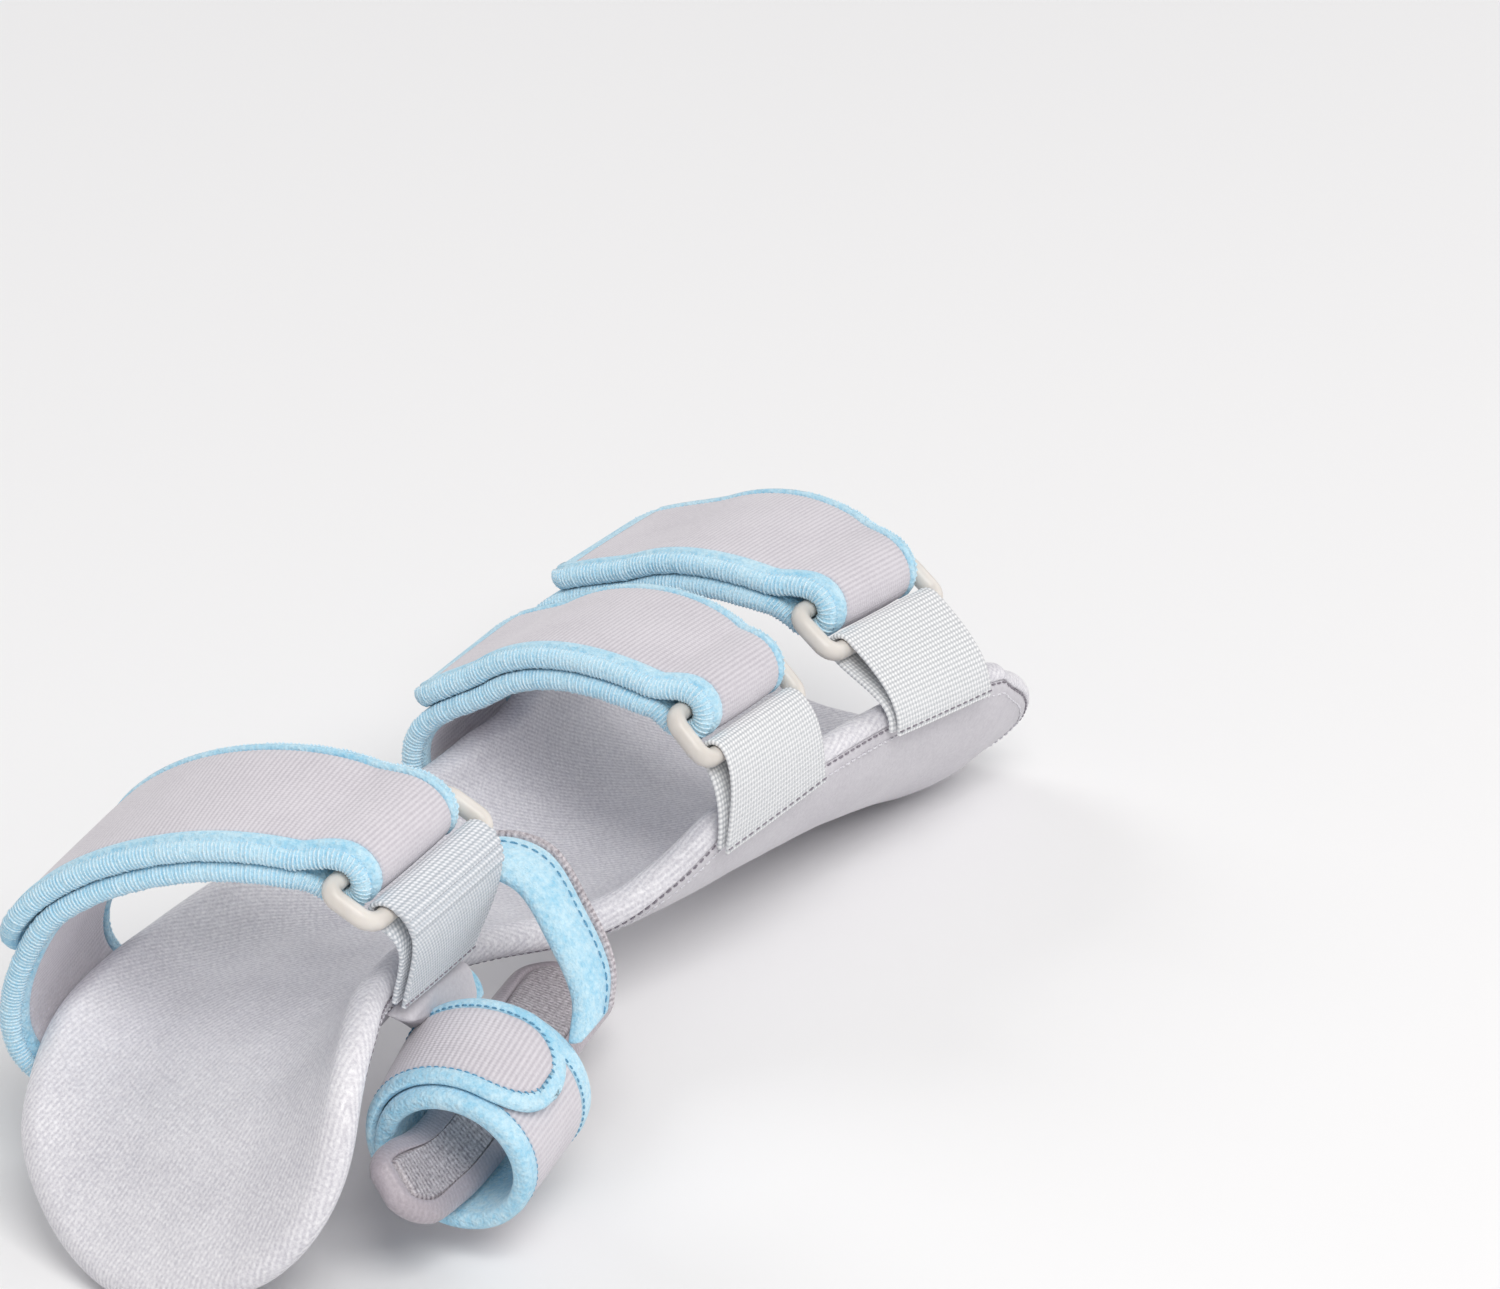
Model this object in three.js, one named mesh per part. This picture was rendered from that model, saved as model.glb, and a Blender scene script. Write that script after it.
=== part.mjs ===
import * as THREE from 'three';

// Resting hand splint, right hand. Sizes in millimetres, angles in degrees.
// Arm frame: X runs from the fingertips to the elbow, with 0 at the wrist ring,
// -Y is the thumb side, Z is up, with 0 at the underside of the forearm trough.

const forearmReach = 127; // wrist ring to the elbow end
const handReach = 201.5; // wrist ring to the tip of the finger pan
const tipDrop = 30; // the tip lies this far below the trough
const palmShift = 19; // the palm lies this far towards the little finger
const wingArc = 77; // middle of the trough to the wing's edge, round the outside
const heelFlat = 26; // last stretch of the trough, which lies flat on the table
const cornerRadius = 36; // of the wings at the elbow end
const tipRound = 54; // length of the round end of the finger pan
const tipShare = 0.2; // width of the tip's last edge, as a share
const boardThickness = 9;
const seamWidth = 3.8; // the lining is rolled over the edge this far
const gap = 0.3; // between pieces that touch

const strapBody = 4.2; // thickness of a strap without its grey face
const faceThickness = 1;
const strapBorder = 6; // bound blue edge beside the grey face
const edgeRound = 1.5;
const ringLength = 52;
const ringHeight = 19;
const ringCorner = 5;
const rodDiameter = 5;
const webbingThickness = 1.2;

const thumbThickness = 7;
const cuffThickness = 4.6;
const cuffRadius = 21.3;

const strapHeight = strapBody + gap + faceThickness;
const barSpread = ringHeight - rodDiameter;
const barRadius = rodDiameter / 2 + 2 * gap;
const ringOpening = ringLength - 2 * rodDiameter;
const ringStrapWidth = ringOpening - 3;

const yAxis = new THREE.Vector3(0, 1, 0);
const degrees = Math.PI / 180;

function vec(x, y, z) {
  return new THREE.Vector3(x, y, z);
}

function moved(point, direction, distance) {
  return point.clone().addScaledVector(direction, distance);
}

function mix(a, b, share) {
  return a + (b - a) * share;
}

function smooth(share) {
  const t = Math.min(Math.max(share, 0), 1);
  return t * t * (3 - 2 * t);
}

// Share of full width at a distance from a round end
function rounding(distance, radius) {
  const left = 1 - Math.min(Math.max(distance / radius, 0), 1);
  return Math.sqrt(Math.max(1 - left * left, 0));
}

// Smooth curve through one column of a table, without overshoot
function columnAt(rows, column, key, at) {
  const xs = rows.map((row) => row[key]);
  const ys = rows.map((row) => row[column]);
  const last = xs.length - 1;
  const slopes = [];
  for (let i = 0; i < last; i += 1) {
    slopes.push((ys[i + 1] - ys[i]) / (xs[i + 1] - xs[i]));
  }
  const ends = (i) => (i === 0 ? slopes[0] : slopes[last - 1]);
  const tangent = (i) => {
    if (i === 0 || i === last) {
      return ends(i);
    }
    const [before, after] = [slopes[i - 1], slopes[i]];
    return before * after <= 0 ? 0 : (2 * before * after) / (before + after);
  };
  const x = Math.min(Math.max(at, xs[0]), xs[last]);
  let i = 0;
  while (i < last - 1 && x > xs[i + 1]) {
    i += 1;
  }
  const width = xs[i + 1] - xs[i];
  const t = (x - xs[i]) / width;
  const h = [(1 + 2 * t) * (1 - t) ** 2, t * (1 - t) ** 2, t * t * (3 - 2 * t), t * t * (t - 1)];
  return h[0] * ys[i] + h[1] * width * tangent(i) + h[2] * ys[i + 1] + h[3] * width * tangent(i + 1);
}

// Board sections from the tip to the heel. reach is a share of handReach below
// zero and of forearmReach above, shift a share of palmShift, rise a share of
// tipDrop, near and far shares of wingArc, and bend the angle of each wing.
const boardRows = [
  { reach: -1.0, shift: -0.3, rise: -1.0, roll: 8, flat: 9, near: 0.68, nearBend: 12, far: 0.58, farBend: 12 },
  { reach: -0.925, shift: 0.1, rise: -0.46, roll: 10, flat: 10, near: 0.74, nearBend: 28, far: 0.65, farBend: 28 },
  { reach: -0.84, shift: 0.5, rise: 0.02, roll: 12, flat: 14, near: 0.77, nearBend: 48, far: 0.7, farBend: 44 },
  { reach: -0.74, shift: 0.85, rise: 0.28, roll: 11, flat: 18, near: 0.76, nearBend: 66, far: 0.7, farBend: 56 },
  { reach: -0.62, shift: 0.95, rise: 0.36, roll: 10, flat: 20, near: 0.74, nearBend: 76, far: 0.69, farBend: 60 },
  { reach: -0.55, shift: 0.92, rise: 0.36, roll: 9, flat: 18, near: 0.7, nearBend: 74, far: 0.69, farBend: 62 },
  { reach: -0.49, shift: 0.84, rise: 0.34, roll: 8, flat: 12, near: 0.38, nearBend: 28, far: 0.68, farBend: 64 },
  { reach: -0.42, shift: 0.72, rise: 0.31, roll: 6, flat: 11, near: 0.31, nearBend: 18, far: 0.69, farBend: 68 },
  { reach: -0.345, shift: 0.58, rise: 0.26, roll: 4, flat: 11, near: 0.33, nearBend: 18, far: 0.71, farBend: 72 },
  { reach: -0.22, shift: 0.3, rise: 0.14, roll: 0, flat: 10, near: 0.43, nearBend: 35, far: 0.75, farBend: 80 },
  { reach: -0.14, shift: 0.15, rise: 0.06, roll: 0, flat: 8, near: 0.62, nearBend: 66, far: 0.79, farBend: 86 },
  { reach: -0.06, shift: 0.05, rise: 0.01, roll: 0, flat: 6, near: 0.78, nearBend: 84, far: 0.82, farBend: 88 },
  { reach: 0.04, shift: 0, rise: 0, roll: 0, flat: 6, near: 0.83, nearBend: 88, far: 0.83, farBend: 88 },
  { reach: 0.28, shift: 0, rise: -0.02, roll: 0, flat: 7.5, near: 0.94, nearBend: 88, far: 0.94, farBend: 88 },
  { reach: 0.55, shift: 0, rise: -0.15, roll: 0, flat: 8.5, near: 1.05, nearBend: 88, far: 1.05, farBend: 88 },
  { reach: 0.79, shift: 0, rise: -0.33, roll: 0, flat: 9, near: 1.09, nearBend: 86, far: 1.08, farBend: 86 },
  { reach: 1.0, shift: 0, rise: -0.33, roll: 0, flat: 9, near: 1.08, nearBend: 80, far: 1.06, farBend: 80 },
];

const boardTable = boardRows.map((row) => ({
  ...row,
  x: row.reach * (row.reach < 0 ? handReach : forearmReach),
  y: row.shift * palmShift,
  z: row.rise * tipDrop,
  near: row.near * wingArc,
  far: row.far * wingArc,
}));

// Thumb tongue sections from its tip to its root under the board's thumb edge
const thumbRows = [
  { x: -175, y: -38.5, z: -3, roll: -42, flat: 5, near: 13, nearBend: 20, far: 13, farBend: 20 },
  { x: -163, y: -39.5, z: -6, roll: -46, flat: 5, near: 14.5, nearBend: 50, far: 13.8, farBend: 48 },
  { x: -152, y: -39.2, z: -6.5, roll: -47, flat: 5, near: 14.5, nearBend: 66, far: 13.6, farBend: 62 },
  { x: -118, y: -34.3, z: -3, roll: -44, flat: 5, near: 15, nearBend: 68, far: 14, farBend: 66 },
  { x: -90, y: -27, z: -3, roll: -20, flat: 6, near: 15, nearBend: 35, far: 15, farBend: 35 },
  { x: -50, y: -18, z: -4, roll: -2, flat: 7, near: 15, nearBend: 14, far: 15, farBend: 14 },
];

// A padded sheet: a path with a curved section across it
function makeSheet(rows, shape) {
  const at = (column, x) => columnAt(rows, column, 'x', x);
  const lift = shape.lift || (() => 0);
  const centre = (x) => vec(x, at('y', x), at('z', x) + lift(x));
  const first = rows[0].x;
  const last = rows[rows.length - 1].x;
  const steps = 240;
  const lengths = [0];
  for (let i = 1; i <= steps; i += 1) {
    const a = centre(mix(first, last, (i - 1) / steps));
    const b = centre(mix(first, last, i / steps));
    lengths.push(lengths[i - 1] + a.distanceTo(b));
  }
  const length = lengths[steps];
  const xAt = (distance) => {
    let i = 1;
    while (i < steps && lengths[i] < distance) {
      i += 1;
    }
    const share = (distance - lengths[i - 1]) / (lengths[i] - lengths[i - 1]);
    return mix(first, last, (i - 1 + share) / steps);
  };
  const frame = (x) => {
    const step = 0.5;
    const along = centre(Math.min(x + step, last)).sub(centre(Math.max(x - step, first))).normalize();
    const level = moved(yAxis, along, -yAxis.dot(along)).normalize();
    const up = along.clone().cross(level);
    const roll = at('roll', x) * degrees;
    const side = level.clone().multiplyScalar(Math.cos(roll)).addScaledVector(up, -Math.sin(roll));
    const normal = up.multiplyScalar(Math.cos(roll)).addScaledVector(level, Math.sin(roll));
    return { along, side, normal };
  };
  const edge = (distance, sign) => shape.edge(at(sign < 0 ? 'near' : 'far', xAt(distance)), distance, length);
  const point = (distance, arc, offset) => {
    const x = xAt(distance);
    const { along, side, normal } = frame(x);
    const sign = arc < 0 ? -1 : 1;
    const flat = at('flat', x);
    const full = at(sign < 0 ? 'near' : 'far', x);
    const bend = at(sign < 0 ? 'nearBend' : 'farBend', x) * degrees;
    const beyond = Math.max(Math.abs(arc) - flat, 0);
    const curvature = bend / (full - flat);
    const turn = beyond * curvature;
    const across = Math.min(Math.abs(arc), flat) + Math.sin(turn) / curvature;
    const height = (1 - Math.cos(turn)) / curvature;
    const inward = normal.clone().multiplyScalar(Math.cos(turn)).addScaledVector(side, -sign * Math.sin(turn));
    const outline = side.clone().multiplyScalar(sign * Math.cos(turn)).addScaledVector(normal, Math.sin(turn));
    const place = moved(moved(centre(x), side, sign * across), normal, height);
    return { place: moved(place, inward, offset), inward, outline, along };
  };
  const distanceAt = (x) => {
    const at = ((x - first) / (last - first)) * steps;
    const i = Math.min(Math.floor(at), steps - 1);
    return mix(lengths[i], lengths[i + 1], at - i);
  };
  const rim = (x, sign, inset, offset) => {
    const distance = distanceAt(x);
    return point(distance, sign * (edge(distance, sign) - inset), offset);
  };
  const flat = (distance) => at('flat', xAt(distance));
  return { length, edge, flat, point, rim };
}

function distancesAlong(length, inset, ends, middle) {
  const front = ends.front.filter((d) => d < length / 2);
  const back = ends.back.filter((d) => d < length / 2);
  const start = front[front.length - 1];
  const stop = length - back[back.length - 1];
  const count = Math.max(Math.round((stop - start) / middle), 1);
  const between = [];
  for (let i = 1; i < count; i += 1) {
    between.push(mix(start, stop, i / count));
  }
  return [...front, ...between, ...back.map((d) => length - d).reverse()].filter((d) => d >= inset && d <= length - inset);
}

// Closed solid between two offsets over a grid of the sheet
function sheetSolid(sheet, part, thickness, grid) {
  const half = thickness / 2;
  const inset = part === 'cover' ? grid.coverInset : 0;
  const rows = distancesAlong(sheet.length, inset - 0.01, grid, grid.step);
  const insets = grid.edges.filter((d) => d > inset - 0.01);
  const deepest = insets[insets.length - 1];
  const side = insets.map((d) => ({ inset: d, share: 1 }));
  for (let j = grid.inner - 1; j >= 0; j -= 1) {
    side.push({ inset: deepest, share: j / grid.inner });
  }
  const across = [
    ...side.map((column) => ({ ...column, sign: -1 })),
    ...side.map((column) => ({ ...column, sign: 1 })).reverse(),
  ];
  const lower = [];
  const upper = [];
  for (const distance of rows) {
    const fromEnd = Math.min(distance, sheet.length - distance);
    for (const { sign, inset: fromEdge, share } of across) {
      const full = sheet.edge(distance, sign);
      const flat = Math.min(sheet.flat(distance), (full - fromEdge) / 2);
      const arc = sign * mix(flat, full - fromEdge, share);
      const nearest = Math.min(fromEnd, share < 1 ? full : fromEdge);
      const round = Math.max(rounding(nearest, half), 0.12);
      const rolled = nearest < grid.seam - 0.01;
      const low = half - half * round;
      const high = half + half * round;
      const bottom = part === 'cover' || rolled ? low : half + gap / 2;
      const top = part === 'cover' ? half - gap / 2 : high;
      lower.push(sheet.point(distance, arc, bottom).place);
      upper.push(sheet.point(distance, arc, top).place);
    }
  }
  return gridSolid(lower, upper, rows.length, across.length);
}

function meshFrom(points, triangles) {
  const geometry = new THREE.BufferGeometry();
  geometry.setAttribute('position', new THREE.Float32BufferAttribute(points.flatMap((p) => p.toArray()), 3));
  geometry.setIndex(triangles.flat());
  geometry.computeVertexNormals();
  return geometry;
}

function gridSolid(lower, upper, rows, columns) {
  const points = [...lower, ...upper];
  const top = rows * columns;
  const index = (i, j) => i * columns + j;
  const triangles = [];
  const quad = (a, b, c, d) => triangles.push([a, b, c], [a, c, d]);
  for (let i = 0; i < rows - 1; i += 1) {
    for (let j = 0; j < columns - 1; j += 1) {
      const corners = [index(i, j), index(i + 1, j), index(i + 1, j + 1), index(i, j + 1)];
      quad(...corners.map((k) => k + top));
      quad(corners[0], corners[3], corners[2], corners[1]);
    }
  }
  for (let i = 0; i < rows - 1; i += 1) {
    quad(index(i, 0), index(i + 1, 0), index(i + 1, 0) + top, index(i, 0) + top);
    const j = columns - 1;
    quad(index(i + 1, j), index(i, j), index(i, j) + top, index(i + 1, j) + top);
  }
  for (let j = 0; j < columns - 1; j += 1) {
    quad(index(0, j + 1), index(0, j), index(0, j) + top, index(0, j + 1) + top);
    const i = rows - 1;
    quad(index(i, j), index(i, j + 1), index(i, j + 1) + top, index(i, j) + top);
  }
  return meshFrom(points, triangles);
}

// Closed solid swept through stations. profile gives corners anticlockwise as
// [across, height], height being measured from the path towards the face side
function sweep(stations, profile, closed) {
  const count = stations.length;
  const points = [];
  const sections = stations.map(profile);
  stations.forEach((station, i) => {
    const before = stations[closed ? (i + count - 1) % count : Math.max(i - 1, 0)].place;
    const after = stations[closed ? (i + 1) % count : Math.min(i + 1, count - 1)].place;
    const travel = station.travel || after.clone().sub(before).normalize();
    const width = station.width.clone().normalize();
    const face = width.clone().cross(travel).normalize();
    for (const [across, height] of sections[i]) {
      points.push(moved(moved(station.place, width, across), face, height));
    }
  });
  const sides = points.length / count;
  const triangles = [];
  for (let i = 0; i < (closed ? count : count - 1); i += 1) {
    for (let k = 0; k < sides; k += 1) {
      const next = (k + 1) % sides;
      const after = ((i + 1) % count) * sides;
      const [a, b, c, d] = [i * sides + k, i * sides + next, after + next, after + k];
      const [from, to] = [sections[i][k], sections[i][next]];
      // Facing walls of two pieces are split along the same diagonal
      const falls = from[0] - to[0] || from[1] - to[1];
      triangles.push(...(falls > 0 ? [[a, c, b], [a, d, c]] : [[a, d, b], [b, d, c]]));
    }
  }
  if (!closed) {
    const end = (count - 1) * sides;
    for (let k = 1; k < sides - 1; k += 1) {
      triangles.push([0, k, k + 1], [end, end + k + 1, end + k]);
    }
  }
  return meshFrom(points, triangles);
}

function bezier(a, b, c, d, count) {
  return new THREE.CubicBezierCurve3(a, b, c, d).getPoints(count);
}

// Adds to each station its direction and its distance from both ends
function measured(stations) {
  let run = 0;
  const last = stations.length - 1;
  stations.forEach((station, i) => {
    const before = stations[Math.max(i - 1, 0)].place;
    const after = stations[Math.min(i + 1, last)].place;
    run += station.place.distanceTo(before);
    station.travel = after.clone().sub(before).normalize();
    station.fromStart = run;
  });
  stations.forEach((station) => {
    station.fromEnd = run - station.fromStart;
  });
  return stations;
}

// Padded band whose bound edges stand proud of a recess for the grey face
function bandProfile(body, face, border) {
  const full = body + gap + face;
  return ({ half, closedEnd }) => {
    const rim = half - border;
    const floor = closedEnd ? full - 0.02 : body;
    return [
      [-half, edgeRound], [-half + edgeRound, 0], [half - edgeRound, 0], [half, edgeRound],
      [half, full - edgeRound], [half - edgeRound, full], [rim, full], [rim, floor],
      [-rim, floor], [-rim, full], [-half + edgeRound, full], [-half, full - edgeRound],
    ];
  };
}

function panelProfile(body, face, border) {
  const low = body + gap;
  return ({ half }) => {
    const side = half - border - 2 * gap;
    return [[-side, low], [side, low], [side, low + face], [-side, low + face]];
  };
}

function plateProfile(low, high, extra = 0) {
  return ({ half }) => [[-half - extra, low], [half, low], [half, high], [-half - extra, high]];
}

const restTiltRange = 20;

function boardSheet(heelAngle) {
  const heelStart = forearmReach - heelFlat;
  const lift = (x) => Math.max(x - heelStart, 0) * Math.tan(heelAngle);
  const edge = (full, distance, length) => {
    const tip = mix(tipShare, 1, rounding(distance, tipRound));
    return full * tip - cornerRadius * (1 - rounding(length - distance, cornerRadius));
  };
  return makeSheet(boardTable, { lift, edge });
}

// Lowest point of a stretch of the board once the arm frame is tilted
function lowest(sheet, from, to, tilt) {
  let low = Infinity;
  for (let i = 0; i <= 12; i += 1) {
    for (const arc of [-12, 0, 12]) {
      const { place } = sheet.point(mix(from, to, i / 12), arc, 0);
      low = Math.min(low, place.z * Math.cos(tilt) - place.x * Math.sin(tilt));
    }
  }
  return low;
}

// The board rests on its heel and the tip of its finger pan
function findRestTilt() {
  let [small, large] = [0, restTiltRange * degrees];
  for (let i = 0; i < 22; i += 1) {
    const tilt = (small + large) / 2;
    const sheet = boardSheet(tilt);
    const tip = lowest(sheet, 0, tipRound, tilt);
    const heel = lowest(sheet, sheet.length - heelFlat, sheet.length - seamWidth, tilt);
    [small, large] = tip < heel ? [tilt, large] : [small, tilt];
  }
  return (small + large) / 2;
}

const restTilt = findRestTilt();
const board = boardSheet(restTilt);
const boardEdge = [0, 1.3, seamWidth, seamWidth + gap, seamWidth + 0.7];
const boardGrid = {
  seam: seamWidth + gap,
  coverInset: seamWidth + 0.7,
  edges: boardEdge,
  front: [...boardEdge, 8, 13, 20, 30, 42, 56],
  back: [...boardEdge, 10, 17, heelFlat, 40],
  inner: 5,
  step: 18,
};

const thumbTip = 15;
const thumb = makeSheet(thumbRows, {
  edge: (full, distance, length) => {
    const nearest = Math.min(distance, length - distance);
    return full * mix(0.35, 1, rounding(nearest, thumbTip));
  },
});
const thumbEdge = [0, 1, 2.3, 2.6, 3];
const thumbGrid = {
  seam: 2.6,
  coverInset: 3,
  edges: thumbEdge,
  front: [...thumbEdge, 6, 10, thumbTip],
  back: [...thumbEdge, 8, thumbTip],
  inner: 3,
  step: 16,
};

// Straps. centre, half width a and rise c of the section, flare of the cone,
// the ring's place round the section, and where the strap is sewn on
const straps = [
  {
    name: 'forearm', centre: vec(71, -2, 38), yaw: -3, pitch: 0, roll: 0, a: 43, c: 31, nearFlare: 1.5, farFlare: 1,
    ringAngle: 136, tailAngle: null, tailStart: 26, tailRound: 9, sewnAt: 67, webbedAt: 61, topWidth: 56,
    sewnInset: 11, standOff: 1.1, climb: 27, lead: 14, joinAngle: 55,
  },
  {
    name: 'wrist', centre: vec(1, -3, 43), yaw: 0, pitch: 0, roll: 0, a: 38, c: 25.5, nearFlare: 0, farFlare: 0,
    ringAngle: 146, tailAngle: null, tailStart: 26, tailRound: 9, sewnAt: 2, webbedAt: 1, topWidth: 52,
    sewnInset: 11, standOff: 2.7, climb: 29, lead: 12, joinAngle: 42,
  },
  {
    name: 'hand', centre: vec(-142, 16, 41), yaw: 12, pitch: 8, roll: 15, a: 53, c: 33, nearFlare: 7, farFlare: -7,
    ringAngle: 152, tailAngle: 8, tailStart: 0, tailRound: 20, sewnAt: -142, webbedAt: -133, topWidth: 50,
    sewnInset: 6, standOff: 0.4, climb: 20, lead: 12, joinAngle: 42,
  },
];

function strapFrame({ yaw, pitch, roll }) {
  const turn = [yaw, pitch, roll].map((angle) => angle * degrees);
  const along = vec(
    Math.cos(turn[0]) * Math.cos(turn[1]),
    Math.sin(turn[0]) * Math.cos(turn[1]),
    Math.sin(turn[1]),
  );
  const level = vec(-Math.sin(turn[0]), Math.cos(turn[0]), 0);
  const up = along.clone().cross(level);
  const side = level.clone().multiplyScalar(Math.cos(turn[2])).addScaledVector(up, -Math.sin(turn[2]));
  const rise = up.multiplyScalar(Math.cos(turn[2])).addScaledVector(level, Math.sin(turn[2]));
  return { along, side, rise };
}

// Place on the contact line between a strap's two layers
function onSection(strap, frame, angle) {
  const [cos, sin] = [Math.cos(angle * degrees), Math.sin(angle * degrees)];
  const place = moved(moved(strap.centre, frame.side, strap.a * cos), frame.rise, strap.c * sin);
  const ahead = vec(0, 0, 0).addScaledVector(frame.side, -strap.a * sin).addScaledVector(frame.rise, strap.c * cos);
  const out = vec(0, 0, 0).addScaledVector(frame.side, strap.c * cos).addScaledVector(frame.rise, strap.a * sin);
  const share = smooth((strap.ringAngle - angle) / 60);
  const halfWidth = mix(ringStrapWidth, strap.topWidth, share) / 2;
  const flare = cos < 0 ? strap.nearFlare * cos : strap.farFlare * cos;
  const width = moved(frame.along.clone().multiplyScalar(halfWidth), frame.side, flare);
  width.setLength(halfWidth);
  return { place, ahead: ahead.normalize(), out: out.normalize(), width };
}

// Line on the outside of the board that a band is sewn along: its middle, its
// direction, and how far the board bulges past it
function sewnLine(x, sign, inset, halfWidth) {
  const at = board.rim(x, sign, inset, 0);
  const first = board.rim(x - halfWidth, sign, inset, 0).place;
  const last = board.rim(x + halfWidth, sign, inset, 0).place;
  const along = last.clone().sub(first).normalize();
  const level = moved(at.outline, along, -at.outline.dot(along)).normalize();
  const out = along.clone().cross(level).multiplyScalar(-sign).normalize();
  let bulge = 0;
  for (let i = 0; i <= 10; i += 1) {
    for (const lift of [-4, 0, 4, 8]) {
      const place = board.rim(x + mix(-halfWidth, halfWidth, i / 10), sign, inset - Math.min(lift, inset), 0).place;
      bulge = Math.max(bulge, place.sub(at.place).dot(out));
    }
  }
  return { place: moved(at.place, out, bulge), out, along, outline: level };
}

const mergeAngle = 26; // the layers part this far before the ring
const sectionStep = 12;

function ringPlace(strap, frame) {
  const at = onSection(strap, frame, strap.ringAngle);
  return {
    ...at,
    upperBar: moved(at.place, at.ahead, -barSpread / 2),
    lowerBar: moved(at.place, at.ahead, barSpread / 2),
  };
}

function blend(points, from, to) {
  const last = points.length - 1;
  return points.map((place, i) => ({ place, width: from.clone().lerp(to, i / last) }));
}

// Line between the two layers, from the far wing to where they part
function contactLine(strap, frame, leave) {
  const sewn = sewnLine(strap.sewnAt, 1, strap.sewnInset, strap.topWidth / 2);
  const start = moved(sewn.place, sewn.out, strapHeight + strap.standOff);
  const join = onSection(strap, frame, strap.joinAngle);
  const startWidth = sewn.along.clone().setLength(strap.topWidth / 2);
  const handle = moved(join.place, join.ahead, -strap.lead);
  const climb = bezier(start, moved(start, sewn.outline, strap.climb), handle, join.place, 7);
  const stations = blend(climb, startWidth, join.width);
  for (let angle = strap.joinAngle + sectionStep; angle < leave - 4; angle += sectionStep) {
    stations.push(onSection(strap, frame, angle));
  }
  stations.push(onSection(strap, frame, leave));
  return measured(stations).map((station) => ({
    ...station,
    out: station.travel.clone().cross(station.width).normalize(),
  }));
}

function layer(stations, offset) {
  return stations.map(({ place, out, width }) => ({ place: moved(place, out, offset), width }));
}

function strapPath(strap) {
  const frame = strapFrame(strap);
  const ring = ringPlace(strap, frame);
  const leave = strap.ringAngle - mergeAngle;
  const contact = contactLine(strap, frame, leave);
  const parting = contact[contact.length - 1];
  const inner = moved(ring.upperBar, ring.out, -barRadius);
  const outer = moved(ring.upperBar, ring.out, barRadius);
  const innerStart = moved(parting.place, parting.out, -gap / 2);
  const outerEnd = moved(parting.place, parting.out, gap / 2);
  const reach = innerStart.distanceTo(inner) / 3;
  const down = bezier(innerStart, moved(innerStart, parting.travel, reach), moved(inner, ring.ahead, -reach), inner, 3);
  const back = bezier(outer, moved(outer, ring.ahead, -reach), moved(outerEnd, parting.travel, reach), outerEnd, 3);
  const turnRound = [];
  for (let i = 1; i < 5; i += 1) {
    const turn = (i / 5) * Math.PI;
    const place = moved(moved(ring.upperBar, ring.out, -barRadius * Math.cos(turn)), ring.ahead, barRadius * Math.sin(turn));
    turnRound.push({ place, width: ring.width.clone() });
  }
  const before = contact.slice(0, -1);
  let tail = before.filter((station) => station.fromEnd < parting.fromStart - strap.tailStart).reverse();
  if (strap.tailAngle !== null) {
    const steps = Math.round((leave - strap.tailAngle) / sectionStep);
    tail = Array.from({ length: steps }, (_, i) => onSection(strap, frame, mix(leave, strap.tailAngle, (i + 1) / steps)));
  }
  const stations = [
    ...layer(before, -gap / 2),
    ...blend(down, parting.width, ring.width),
    ...turnRound,
    ...blend(back, ring.width, parting.width),
    ...layer(tail, gap / 2),
  ];
  return measured(refinedTail(stations, strap.tailRound));
}

// Splits the last stretch so that the tail's end can be round
function refinedTail(stations, radius) {
  const [before, end] = stations.slice(-2);
  const span = before.place.distanceTo(end.place);
  const extra = [radius * 0.5, strapBorder, strapBorder - 0.4, 2].filter((d) => d < span - 1).sort((a, b) => b - a);
  const between = extra.map((d) => ({
    place: end.place.clone().lerp(before.place, d / span),
    width: end.width.clone(),
  }));
  return [...stations.slice(0, -1), ...between, end];
}

function shaped(stations, radius) {
  return stations.map((station) => {
    const half = station.width.length() - radius * (1 - rounding(station.fromEnd, radius));
    const closedEnd = station.fromEnd < strapBorder - 0.1 || station.fromStart < 0.1;
    return { ...station, half, closedEnd };
  });
}

function roundedRectangle(centre, length, height, corner, width, ahead) {
  const points = [];
  const corners = [[1, 1, 0], [-1, 1, 90], [-1, -1, 180], [1, -1, 270]];
  for (const [sideX, sideY, start] of corners) {
    for (let i = 0; i <= 4; i += 1) {
      const angle = (start + i * 22.5) * degrees;
      const x = sideX * (length / 2 - corner) + corner * Math.cos(angle);
      const y = sideY * (height / 2 - corner) + corner * Math.sin(angle);
      points.push(moved(moved(centre, width, x), ahead, y));
    }
  }
  return points;
}

function ringSolid(strap) {
  const ring = ringPlace(strap, strapFrame(strap));
  const width = ring.width.clone().normalize();
  const radius = rodDiameter / 2;
  const path = roundedRectangle(
    ring.place, ringLength - rodDiameter, barSpread, ringCorner - radius / 2, width, ring.ahead,
  );
  const stations = path.map((place) => ({ place, width: ring.out }));
  const section = [0, 60, 120, 180, 240, 300].map((angle) => [
    radius * Math.cos(angle * degrees), radius * Math.sin(angle * degrees),
  ]);
  return sweep(stations, () => section, true);
}

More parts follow.
